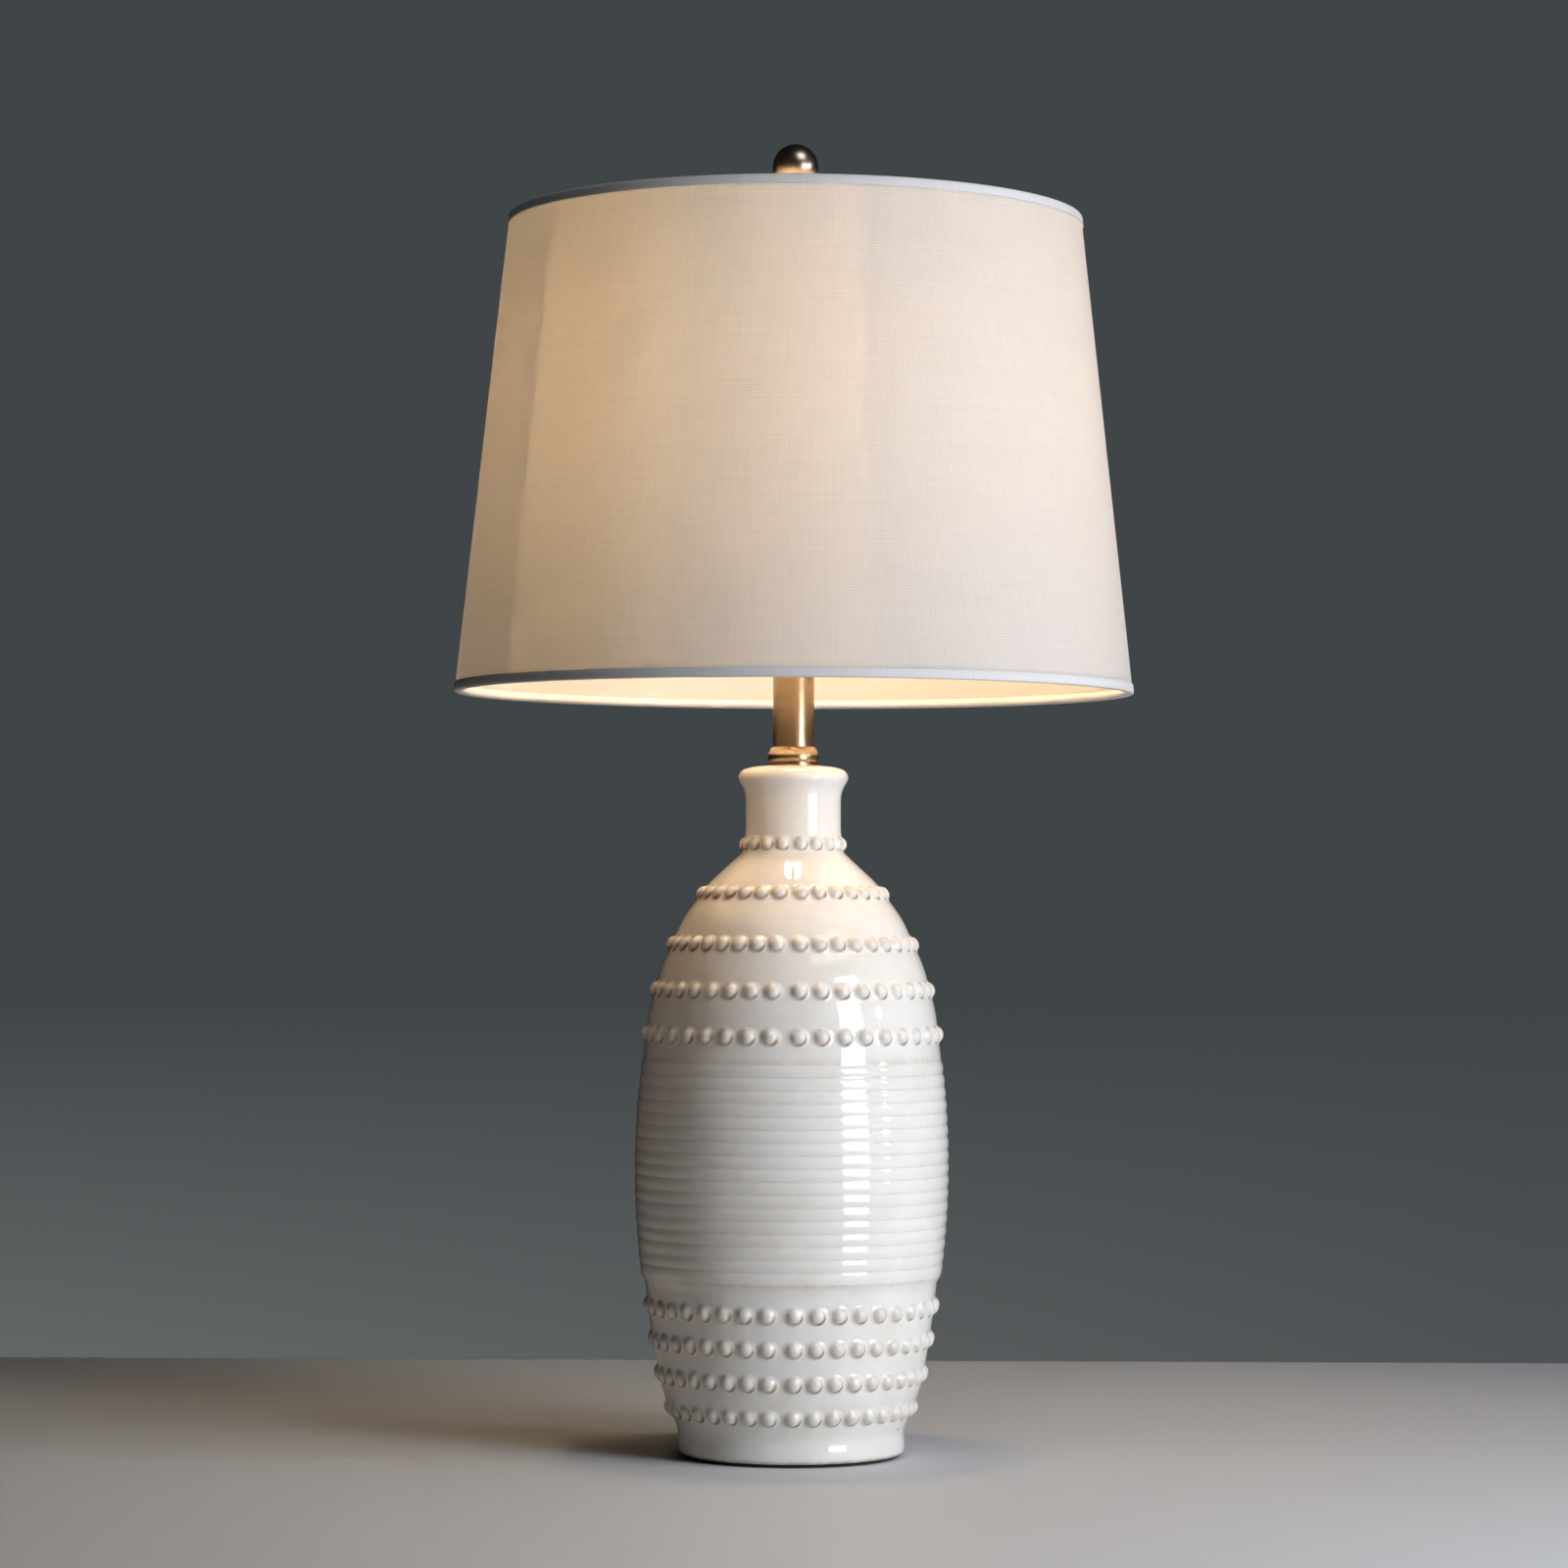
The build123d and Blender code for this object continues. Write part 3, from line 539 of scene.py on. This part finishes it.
@dataclass
class CeramicBase:
    """The glazed base: foot, beaded lower wall, ribbed belly, beaded shoulder, neck, lip, and the pad under it."""

    sides: int = 192
    pad_top: float = 1.5
    foot_band: Sequence[Point] = ((52.4, 1.5), (53.7, 1.75), (54.4, 2.3), (54.9, 3.5), (55.1, 5.5), (55.0, 8.0))
    rib_count: int = 17
    rib_pitch: float = 6.1
    rib_depth: float = 0.55
    rib_bottom: float = 87.4
    belly_height: float = 140.0
    belly_radius: float = 76.2
    belly_arc: float = 800.0
    lower_wall: Sequence[Point] = (
        (54.85, 9.5),
        (54.35, 12.4),
        (62.4, 32.0),
        (65.6, 48.5),
        (68.3, 65.0),
        (70.7, 84.6),
    )
    lower_radii: Sequence[float] = (10, 45, 150, 150)
    shoulder: Sequence[Point] = (
        (69.6, 214.8),
        (63.8, 236.5),
        (53.4, 259.5),
        (40.6, 277.0),
        (24.2, 292.2),
        (23.2, 303.0),
    )
    shoulder_radii: Sequence[float] = (60, 60, 50, 30, 6)
    lip: Sequence[Point] = (
        (23.2, 317.0),
        (23.35, 319.0),
        (23.75, 321.0),
        (24.7, 323.4),
        (25.9, 325.4),
        (26.7, 327.2),
        (26.8, 328.2),
        (26.5, 329.6),
        (25.6, 331.0),
        (24.2, 332.0),
        (21.5, 332.9),
        (17.5, 333.6),
        (13.0, 334.0),
    )
    bead_sizes: Sequence[Point] = ((3.6, 1.3), (4.1, 1.6))
    neck_row: Point = (295.7, 19)
    upper_rows: Sequence[Point] = ((272.0, 32), (247.5, 40), (225.3, 40), (203.8, 40))
    lower_rows: Sequence[Point] = ((72.8, 40), (56.8, 40), (40.2, 40), (23.6, 38))
    seam_extra: float = 1.8
    outlet_height: float = 9.5
    outlet_bore: float = 4.6
    outlet_seat: float = 53.4
    flange_bore: float = 6.7
    outlet_reach: Point = (38.0, 70.0)
    bead_sides: int = 14
    bead_section: Sequence[Point] = (
        (0.0, 1.0),
        (0.36, 0.93),
        (0.64, 0.68),
        (0.82, 0.38),
        (0.95, 0.17),
        (1.13, 0.04),
        (1.42, -0.08),
    )
    bead_root: float = -0.9
    inside: Sequence[Point] = (
        (5.6, 334.0),
        (5.6, 327.5),
        (17.2, 327.5),
        (17.2, 303.0),
        (32.0, 277.0),
        (50.3, 252.0),
        (64.0, 212.0),
        (68.6, 180.0),
        (70.2, 140.0),
        (66.0, 90.0),
        (59.3, 45.0),
        (50.0, 22.5),
        (5.6, 22.5),
        (5.6, 16.5),
        (43.4, 16.5),
        (44.0, 15.9),
    )
    foot_bore: float = 44.0
    pad_outline: Sequence[Point] = (
        (0.0, 0.0),
        (51.9, 0.0),
        (52.4, 0.35),
        (52.5, 0.8),
        (52.4, 1.3),
        (51.9, 1.5),
        (0.0, 1.5),
    )

    def crest(self, height: float) -> float:
        """Radius of the arc that the ribs' crests follow.

        Args:
            height: millimetres above the table.

        Returns:
            The radius in millimetres.
        """
        return self.belly_radius - (height - self.belly_height) ** 2 / self.belly_arc

    def ribs(self, points_each: int = 10) -> list[Point]:
        """Outline of the throwing ribs: rounded, no two quite as deep, and the lowest the faintest.

        Args:
            points_each: points along one rib.

        Returns:
            Radius and height of each point.
        """
        made = []
        for step in range(self.rib_count):
            depth = self.rib_depth * (0.5 + 0.4 * step / self.rib_count + 0.3 * (step * 0.618 % 1))
            for part in range(points_each):
                share = part / points_each
                height = self.rib_bottom + (step + share) * self.rib_pitch
                sag = (abs(2 * share - 1) ** 2 + 0.5 - 0.5 * math.cos(math.pi * (2 * share - 1))) / 2
                made.append((self.crest(height) - depth * sag, height))
        top = self.rib_bottom + self.rib_count * self.rib_pitch
        made.append((self.crest(top) - self.rib_depth, top))
        return made

    def outline(self) -> list[Point]:
        """The whole closed outline of the hollow pot.

        Returns:
            Radius and height of each point, from the foot ring round and back to it.
        """
        ring = (self.foot_bore, self.pad_top)
        lower, upper = self.walls()
        return [ring, *self.foot_band, *lower, *self.ribs(), *upper[1:], *self.lip, *self.inside, ring]

    def walls(self) -> tuple[list[Point], list[Point]]:
        """The two walls that carry beads.

        Returns:
            The wall under the ribs and the shoulder above them, both rising.
        """
        lower = rounded(self.lower_wall, self.lower_radii)
        return lower, rounded([self.ribs()[-1], *self.shoulder], self.shoulder_radii)

    def stand(self, wall: Sequence[Point], height: float) -> tuple[Vector, float]:
        """Where the wall is at a height, and how it leans.

        Args:
            wall: the outline's points, rising.
            height: millimetres.

        Returns:
            The point (radius, height) and the tilt of the wall's outward normal above level, in radians.
        """
        for low, high in zip(wall, wall[1:]):
            if low[1] <= height <= high[1]:
                share = (height - low[1]) / (high[1] - low[1])
                radius = low[0] + (high[0] - low[0]) * share
                return Vector((radius, height)), math.atan2(low[0] - high[0], high[1] - low[1])
        raise ValueError(f"the wall has no height {height}")

    def bead_row(self, wall: Sequence[Point], row: Point, size: Point) -> bpy.types.Object:
        """Model one bead with the glaze pooled round its foot, and copy it round the wall.

        Args:
            wall: the outline it stands on.
            row: height and number of beads.
            size: ball radius, and how far its centre is sunk.

        Returns:
            The row as one piece.
        """
        height, count = row[0], int(row[1])
        radius, sunk = size
        top = radius - sunk
        outline = [(out * radius, up * top) for out, up in self.bead_section]
        outline += [(outline[-1][0], self.bead_root), (0.0, self.bead_root)]
        bead = turn_outline(f"bead_row_{height:.0f}", outline, self.bead_sides, 80)
        values = bead.data.attributes.new("thinness", "FLOAT", "POINT")
        for vertex in bead.data.vertices:
            values.data[vertex.index].value = self.bead_thinness(vertex.co / MM / radius)
        point, tilt = self.stand(wall, height)
        # the bead right of the row's wide gap lies further right from row to row
        share = min(height / self.upper_rows[0][0], 1)
        first = math.asin((0.4 + 3.1 * share) / point.x) - math.pi / 2
        bead.data.transform(Matrix.Rotation(math.pi / 2 - tilt, 4, "Y"))
        bead.data.transform(Matrix.Translation((point.x * MM, 0, point.y * MM)))
        bead.data.transform(Matrix.Rotation(first, 4, "Z"))
        edit(bead)
        pitch = math.radians(360 - self.seam_extra) / count
        turn = pitch * (count - 1)
        bpy.ops.mesh.spin(steps=count - 1, dupli=True, angle=turn, center=(0, 0, 0), axis=(0, 0, -1))
        bpy.ops.mesh.select_all(action="SELECT")
        bpy.ops.mesh.normals_make_consistent(inside=False)
        bpy.ops.object.mode_set(mode="OBJECT")
        return bead

    @staticmethod
    def bead_thinness(place: Vector) -> float:
        """How thin the glaze is on a bead: it ran off the bead's foot, most of all low on the right.

        Args:
            place: the point from the bead's middle in bead radii, x down the wall and y to the right.

        Returns:
            0 where it covers and 1 where clay shows.
        """
        out = math.hypot(place.x, place.y)
        if out > 1.0 or place.z < 0:
            return 0.05
        if out < 0.7:
            return 0.2
        lean = (0.7 * place.x + 0.7 * place.y) / out
        return 0.25 + (1.7 if out > 0.88 else 0.9) * max(lean, 0) ** 2

    def wall_thinness(self, radius: float, height: float) -> float:
        """How thin the glaze is on the wall.

        Args:
            radius: millimetres from the axis.
            height: millimetres above the table.

        Returns:
            0 where it covers and 1 where clay shows.
        """
        if height < 2.4 or radius < 46 and height < 23:
            return 0.8
        top = self.rib_bottom + self.rib_count * self.rib_pitch
        if self.rib_bottom - 0.5 <= height <= top + 0.5 and radius > 71.5:
            share = (height - self.rib_bottom) / self.rib_pitch % 1
            return 0.03 + 0.3 * abs(2 * share - 1) ** 10
        return 0.04

    def cut_outlet(self, pot: bpy.types.Object) -> None:
        """Cut the stepped hole for the cord's bushing through the back of the foot.

        Args:
            pot: the turned pot.
        """
        bore, seat, flange = self.outlet_bore, self.outlet_seat, self.flange_bore
        start, end = self.outlet_reach
        steps = [(0.0, start), (bore, start), (bore, seat), (flange, seat), (flange, end), (0.0, end)]
        cutter = turn_outline("outlet_cutter", steps, 32, 30)
        cutter.data.transform(Matrix.Rotation(-math.pi / 2, 4, "X"))
        cutter.data.transform(Matrix.Translation((0, 0, self.outlet_height * MM)))
        pick(pot)
        cut = pot.modifiers.new("outlet", "BOOLEAN")
        cut.object = cutter
        cut.operation = "DIFFERENCE"
        bpy.ops.object.modifier_apply(modifier=cut.name)
        bpy.data.objects.remove(cutter, do_unlink=True)

    def make(self, glaze: bpy.types.Material, felt: bpy.types.Material) -> None:
        """Build the pot with its beads, and the pad.

        Args:
            glaze: the pot's finish.
            felt: the pad's finish.
        """
        pot = turn_outline("glazed_pot", self.outline(), self.sides, 50)
        self.cut_outlet(pot)
        values = pot.data.attributes.new("thinness", "FLOAT", "POINT")
        for vertex in pot.data.vertices:
            radius = math.hypot(vertex.co.x, vertex.co.y) / MM
            values.data[vertex.index].value = self.wall_thinness(radius, vertex.co.z / MM)
        lower, upper = self.walls()
        rows = [self.bead_row(upper, self.neck_row, self.bead_sizes[0])]
        rows += [self.bead_row(upper, row, self.bead_sizes[1]) for row in self.upper_rows]
        rows += [self.bead_row(lower, row, self.bead_sizes[1]) for row in self.lower_rows]
        pick(pot, *rows)
        bpy.ops.object.join()
        bpy.ops.object.shade_smooth_by_angle(angle=math.radians(55))
        dress(pot, glaze)
        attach(pot, "lamp_base")
        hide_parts("ceramic_body")
        LOG.info("ceramic pot: %d faces", len(pot.data.polygons))
        pad = turn_outline("felt_pad", self.pad_outline, 96, 60)
        dress(pad, felt)
        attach(pad, "lamp_base")
        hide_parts("foot_pad")
        LOG.info("felt pad")


@dataclass
class Shade:
    """The tapered shade: linen bonded to a liner, with a folded hem over each edge."""

    bottom_radius: float = 165.1
    top_radius: float = 139.7
    bottom: float = 368.7
    top: float = 600.6
    hem: float = 0.55
    hem_height: float = 4.6
    cloth: float = 0.6
    liner: float = 0.5
    film_gap: float = 0.02
    edge_gap: float = 0.7
    sides: int = 180
    rings: int = 24

    def radius(self, height: float) -> float:
        """Radius of the hems' outside at a height.

        Args:
            height: millimetres above the table.

        Returns:
            The radius in millimetres.
        """
        share = (height - self.bottom) / (self.top - self.bottom)
        return self.bottom_radius + (self.top_radius - self.bottom_radius) * share

    def shell(self, name: str, outer: float, inner: float, low: float, high: float) -> bpy.types.Object:
        """Turn one layer of the shade.

        Args:
            name: the piece's name.
            outer: its outside's depth under the hems' outside, in millimetres.
            inner: its inside's depth.
            low: lower edge.
            high: upper edge.

        Returns:
            The layer as a thin closed piece.
        """
        rise = [low + (high - low) * step / self.rings for step in range(self.rings + 1)]
        outside = [(self.radius(height) - outer, height) for height in rise]
        inside = [(self.radius(height) - inner, height) for height in reversed(rise)]
        return turn_outline(name, [*outside, *inside, outside[0]], self.sides, 40)

    def hem_band(self, name: str, fold: float, side: int) -> bpy.types.Object:
        """Turn one folded strip with a soft edge.

        Args:
            name: the piece's name.
            fold: height of the shade's edge, where the strip is folded.
            side: +1 where the strip stands up from the fold, -1 where it hangs down from it.

        Returns:
            The strip.
        """
        thick, tall = self.hem, self.hem_height
        # depth under the hem's outside, and distance from the fold; the strip is rolled round the wire ring
        section = [(thick, tall), (0.12, tall), (0.0, tall - 0.15), (0.0, 0.9), (0.3, 0.3), (1.0, 0.0), (3.2, 0.0)]
        section += [(4.2, 0.25), (5.0, 0.95), (5.35, 2.05), (5.05, 3.05), (4.3, 3.85), (3.2, 4.3), (1.9, 4.55)]
        section += [(1.75, 4.1), (3.2, 3.8), (4.0, 3.45), (4.6, 2.85), (4.85, 2.05), (4.6, 1.25), (4.0, 0.7)]
        section += [(3.2, 0.48), (1.2, thick), (thick, 1.2), (thick, tall)]
        points = [(self.radius(fold + side * away) - depth, fold + side * away) for depth, away in section]
        return turn_outline(name, points, self.sides, 60)

    def make(self, linen: bpy.types.Material, lining: bpy.types.Material, tape: bpy.types.Material) -> None:
        """Build the cloth, the liner and the two hems.

        Args:
            linen: the cloth's finish.
            lining: the liner's finish.
            tape: the hems' finish.
        """
        bonded = self.hem + self.cloth
        low, high = self.bottom + self.edge_gap, self.top - self.edge_gap
        cloth = self.shell("shade_linen", self.hem, bonded, low, high)
        dress(cloth, linen)
        liner = self.shell("shade_lining", bonded + self.film_gap, bonded + self.liner, low, high)
        dress(liner, lining)
        hems = [self.hem_band("hem_strip_top", self.top, -1), self.hem_band("hem_strip_bottom", self.bottom, 1)]
        names = ("shade_cloth", "shade_liner", "shade_top_hem", "shade_bottom_hem")
        slots = ("shade_linen", "shade_liner_white", "hem_linen", "hem_linen")
        for piece, node, slot in zip((cloth, liner, *hems), names, slots):
            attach(piece, "shade")
            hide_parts(node)
        for hem in hems:
            dress(hem, tape)
        LOG.info("shade: cloth, liner and two hems")


@dataclass(frozen=True)
class SoftLight:
    """A rectangular soft light that faces the lamp: its middle and its width and height in metres, power, colour."""

    name: str
    place: tuple[float, float, float]
    size: Point
    watts: float
    tone: str

    def hang(self, aim: Vector) -> None:
        """Put the light in the studio.

        Args:
            aim: the point that it faces.
        """
        data = bpy.data.lights.new(self.name, "AREA")
        data.shape = "RECTANGLE"
        data.size, data.size_y = self.size
        data.energy = self.watts
        data.color = linear(self.tone)[:3]
        light = bpy.data.objects.new(self.name, data)
        bpy.context.scene.collection.objects.link(light)
        light.location = self.place
        light.rotation_euler = (aim - Vector(self.place)).to_track_quat("-Z", "Y").to_euler()


@dataclass
class Studio:
    """A grey table edge before a slate backdrop, with a tall soft light on the right."""

    floor_tone: str = "#D2D2D2"
    table: Point = (6.0, 3.4)
    far_edge: float = 0.47
    backdrop_tone: str = "#404547"
    backdrop_painted_glow: str = "#646869"
    room_tone: str = "#AAB4BC"
    room_light: float = 0.012
    camera_place: tuple[float, float, float] = (-0.0045, -2.228, 0.2628)
    camera_pitch: float = 0.0279
    camera_roll: float = 0.0038
    lens: float = 105.3
    aim: tuple[float, float, float] = (0.0, 0.0, 0.3)
    lights: Sequence[SoftLight] = (
        SoftLight("key_softbox", (0.8, -0.75, 0.39), (0.38, 0.78), 9.0, "#E6F0FF"),
        SoftLight("edge_strip", (1.75, -0.5, 0.73), (0.14, 0.26), 6.5, "#EAF1FF"),
        SoftLight("top_softbox", (1.0, -1.2, 2.4), (1.2, 1.2), 16.0, "#F6FAFF"),
    )

    def camera(self) -> None:
        """Place the camera where the photograph was taken."""
        data = bpy.data.cameras.new("camera")
        data.lens = self.lens
        data.sensor_width = 36.0
        camera = bpy.data.objects.new("camera", data)
        bpy.context.scene.collection.objects.link(camera)
        tilt = Matrix.Rotation(math.pi / 2 + self.camera_pitch, 4, "X")
        roll = Matrix.Rotation(self.camera_roll, 4, "Z")
        camera.matrix_world = Matrix.Translation(self.camera_place) @ tilt @ roll
        bpy.context.scene.camera = camera

    def floor(self) -> None:
        """Lay the table top, with its far edge behind the lamp."""
        bpy.ops.object.select_all(action="DESELECT")
        bpy.ops.mesh.primitive_plane_add(size=1.0, location=(0, 0, 0))
        floor = bpy.context.active_object
        floor.name = "table_top"
        bpy.ops.object.mode_set(mode="EDIT")
        bpy.ops.mesh.select_all(action="SELECT")
        bpy.ops.transform.resize(value=(*self.table, 1.0))
        bpy.ops.transform.translate(value=(0, self.far_edge - self.table[1] / 2, 0))
        bpy.ops.mesh.subdivide(number_cuts=3)
        bpy.ops.object.mode_set(mode="OBJECT")
        material, tree, output = new_material("matt_laminate_grey")
        skin = add(tree, "BsdfPrincipled", {"Base Color": linear(self.floor_tone), "Roughness": 0.62})
        tree.links.new(skin.outputs[0], output.inputs["Surface"])
        dress(floor, material)

    def world(self) -> None:
        """Show the slate backdrop, and give the room a dim even light."""
        world = bpy.data.worlds.new("studio")
        bpy.context.scene.world = world
        world.use_nodes = True
        tree = world.node_tree
        tree.nodes.clear()
        # painted light: the backdrop is painted a little lighter low down, as if light from the table reached it, and
        # most so on the left
        way = add(tree, "SeparateXYZ", {0: add(tree, "TexCoord").outputs["Generated"]})
        low = add(tree, "MapRange", {"Value": way.outputs["Z"], "From Min": -0.02, "From Max": -0.1})
        left = add(tree, "MapRange", {"Value": way.outputs["X"], "From Min": 0.16, "From Max": -0.16, "To Min": 0.35})
        glow = maths(tree, "MULTIPLY", low.outputs[0], left.outputs[0])
        tone = mixed(tree, glow, linear(self.backdrop_tone), linear(self.backdrop_painted_glow))
        seen = add(tree, "Background", {"Color": tone, "Strength": 1.0})
        room = add(tree, "Background", {"Color": linear(self.room_tone), "Strength": self.room_light})
        camera_ray = add(tree, "LightPath").outputs["Is Camera Ray"]
        both = add(tree, "MixShader", {0: camera_ray, 1: room.outputs[0], 2: seen.outputs[0]})
        tree.links.new(both.outputs[0], add(tree, "OutputWorld").inputs["Surface"])

    def make(self) -> None:
        """Set up camera, table, backdrop and lights."""
        self.camera()
        self.floor()
        self.world()
        for light in self.lights:
            light.hang(Vector(self.aim))
        bpy.context.scene.view_settings.view_transform = "Standard"
        LOG.info("studio")


@dataclass
class Fittings:
    """The hard pieces whose shape is final: they only get their finish."""

    # painted reflection: the warm brown in these two nickel tones stands for the warm lamp light the metal reflects;
    # the grey under it is the nickel's own
    nickel: Metal = Metal("brushed_nickel_turned", "#B99E7C", 0.29, Grain.TURNED)
    polished: Metal = Metal("satin_nickel_ball", "#B5A693", 0.3)
    steel: Metal = Metal("zinc_plated_steel", "#A7ABAD", 0.34, Grain.DRAWN)
    brass: Metal = Metal("lacquered_brass", "#B89A5A", 0.24)
    thin_metal: Metal = Metal("pressed_aluminium_sheet", "#C3C4C2", 0.3, Grain.TURNED)
    black: Moulding = Moulding("moulded_black_phenolic", "#17171A", 0.32)
    rubber: Moulding = Moulding("black_rubber", "#1B1B1C", 0.75)
    paper: Moulding = Moulding("pressed_fibre_paper", "#7A6248", 0.85, 1500.0, 0.05)
    paint: Moulding = Moulding("white_powder_coat_wire", "#E8E6E1", 0.45, 1800.0, 0.04)
    finishes: dict[str, str] = field(
        default_factory=lambda: {
            "neck_collar": "nickel",
            "neck_tube": "nickel",
            "neck_check_ring": "nickel",
            "harp_saddle": "steel",
            "harp": "steel",
            "harp_stud": "brass",
            "harp_sleeve_left": "nickel",
            "harp_sleeve_right": "nickel",
            "socket_cap": "brass",
            "socket_shell": "brass",
            "socket_liner": "paper",
            "socket_interior": "black",
            "socket_screw_shell": "brass",
            "socket_contact": "brass",
            "terminal_screws": "brass",
            "switch_shaft": "steel",
            "switch_knob": "black",
            "bulb_cap": "thin_metal",
            "bulb_insulator": "black",
            "bulb_contact": "brass",
            "lamp_pipe": "steel",
            "rubber_washer": "rubber",
            "steel_washer": "steel",
            "lock_washer": "steel",
            "hex_nut": "steel",
            "cord_bushing": "black",
            "shade_top_ring": "paint",
            "shade_bottom_ring": "paint",
            "spider_hub": "paint",
            "spider_spokes": "paint",
            "finial_insert": "brass",
            "finial_ball": "polished",
        }
    )

    def make(self, nodes: dict[str, bpy.types.Object]) -> None:
        """Dress the hard pieces.

        Args:
            nodes: the frame's pieces by name.
        """
        made = {name: getattr(self, name).make() for name in sorted(set(self.finishes.values()))}
        for node, finish in self.finishes.items():
            dress(nodes[node], made[finish])
            LOG.info("%s: %s", node, finish)
        dress(nodes["bulb_envelope"], LitGlass().make())
        LOG.info("bulb_envelope: lit glass")


def main() -> None:
    """Build the studio and the lamp, piece by piece."""
    logging.basicConfig(level=logging.INFO, format="%(name)s %(message)s")
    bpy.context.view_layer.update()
    Studio().make()
    Fittings().make(frame["nodes"])
    felt = Moulding("black_felt", "#131313", 0.95, 2600.0, 0.12, 0.3).make()
    CeramicBase().make(Glaze().make(), felt)
    linen = Linen("white_linen_plain_weave", "#F1EEEC", "#CBC6C2", "#FFFDFA", 0.62)
    tape = Linen("white_linen_hem_strip", "#E0DAD4", "#8E8A86", "#FFFFFF", 0.0, Weave.CORDED, 1000)
    Shade().make(linen.make(), LinerSheet().make(), tape.make())


if __name__ == "__main__":
    main()
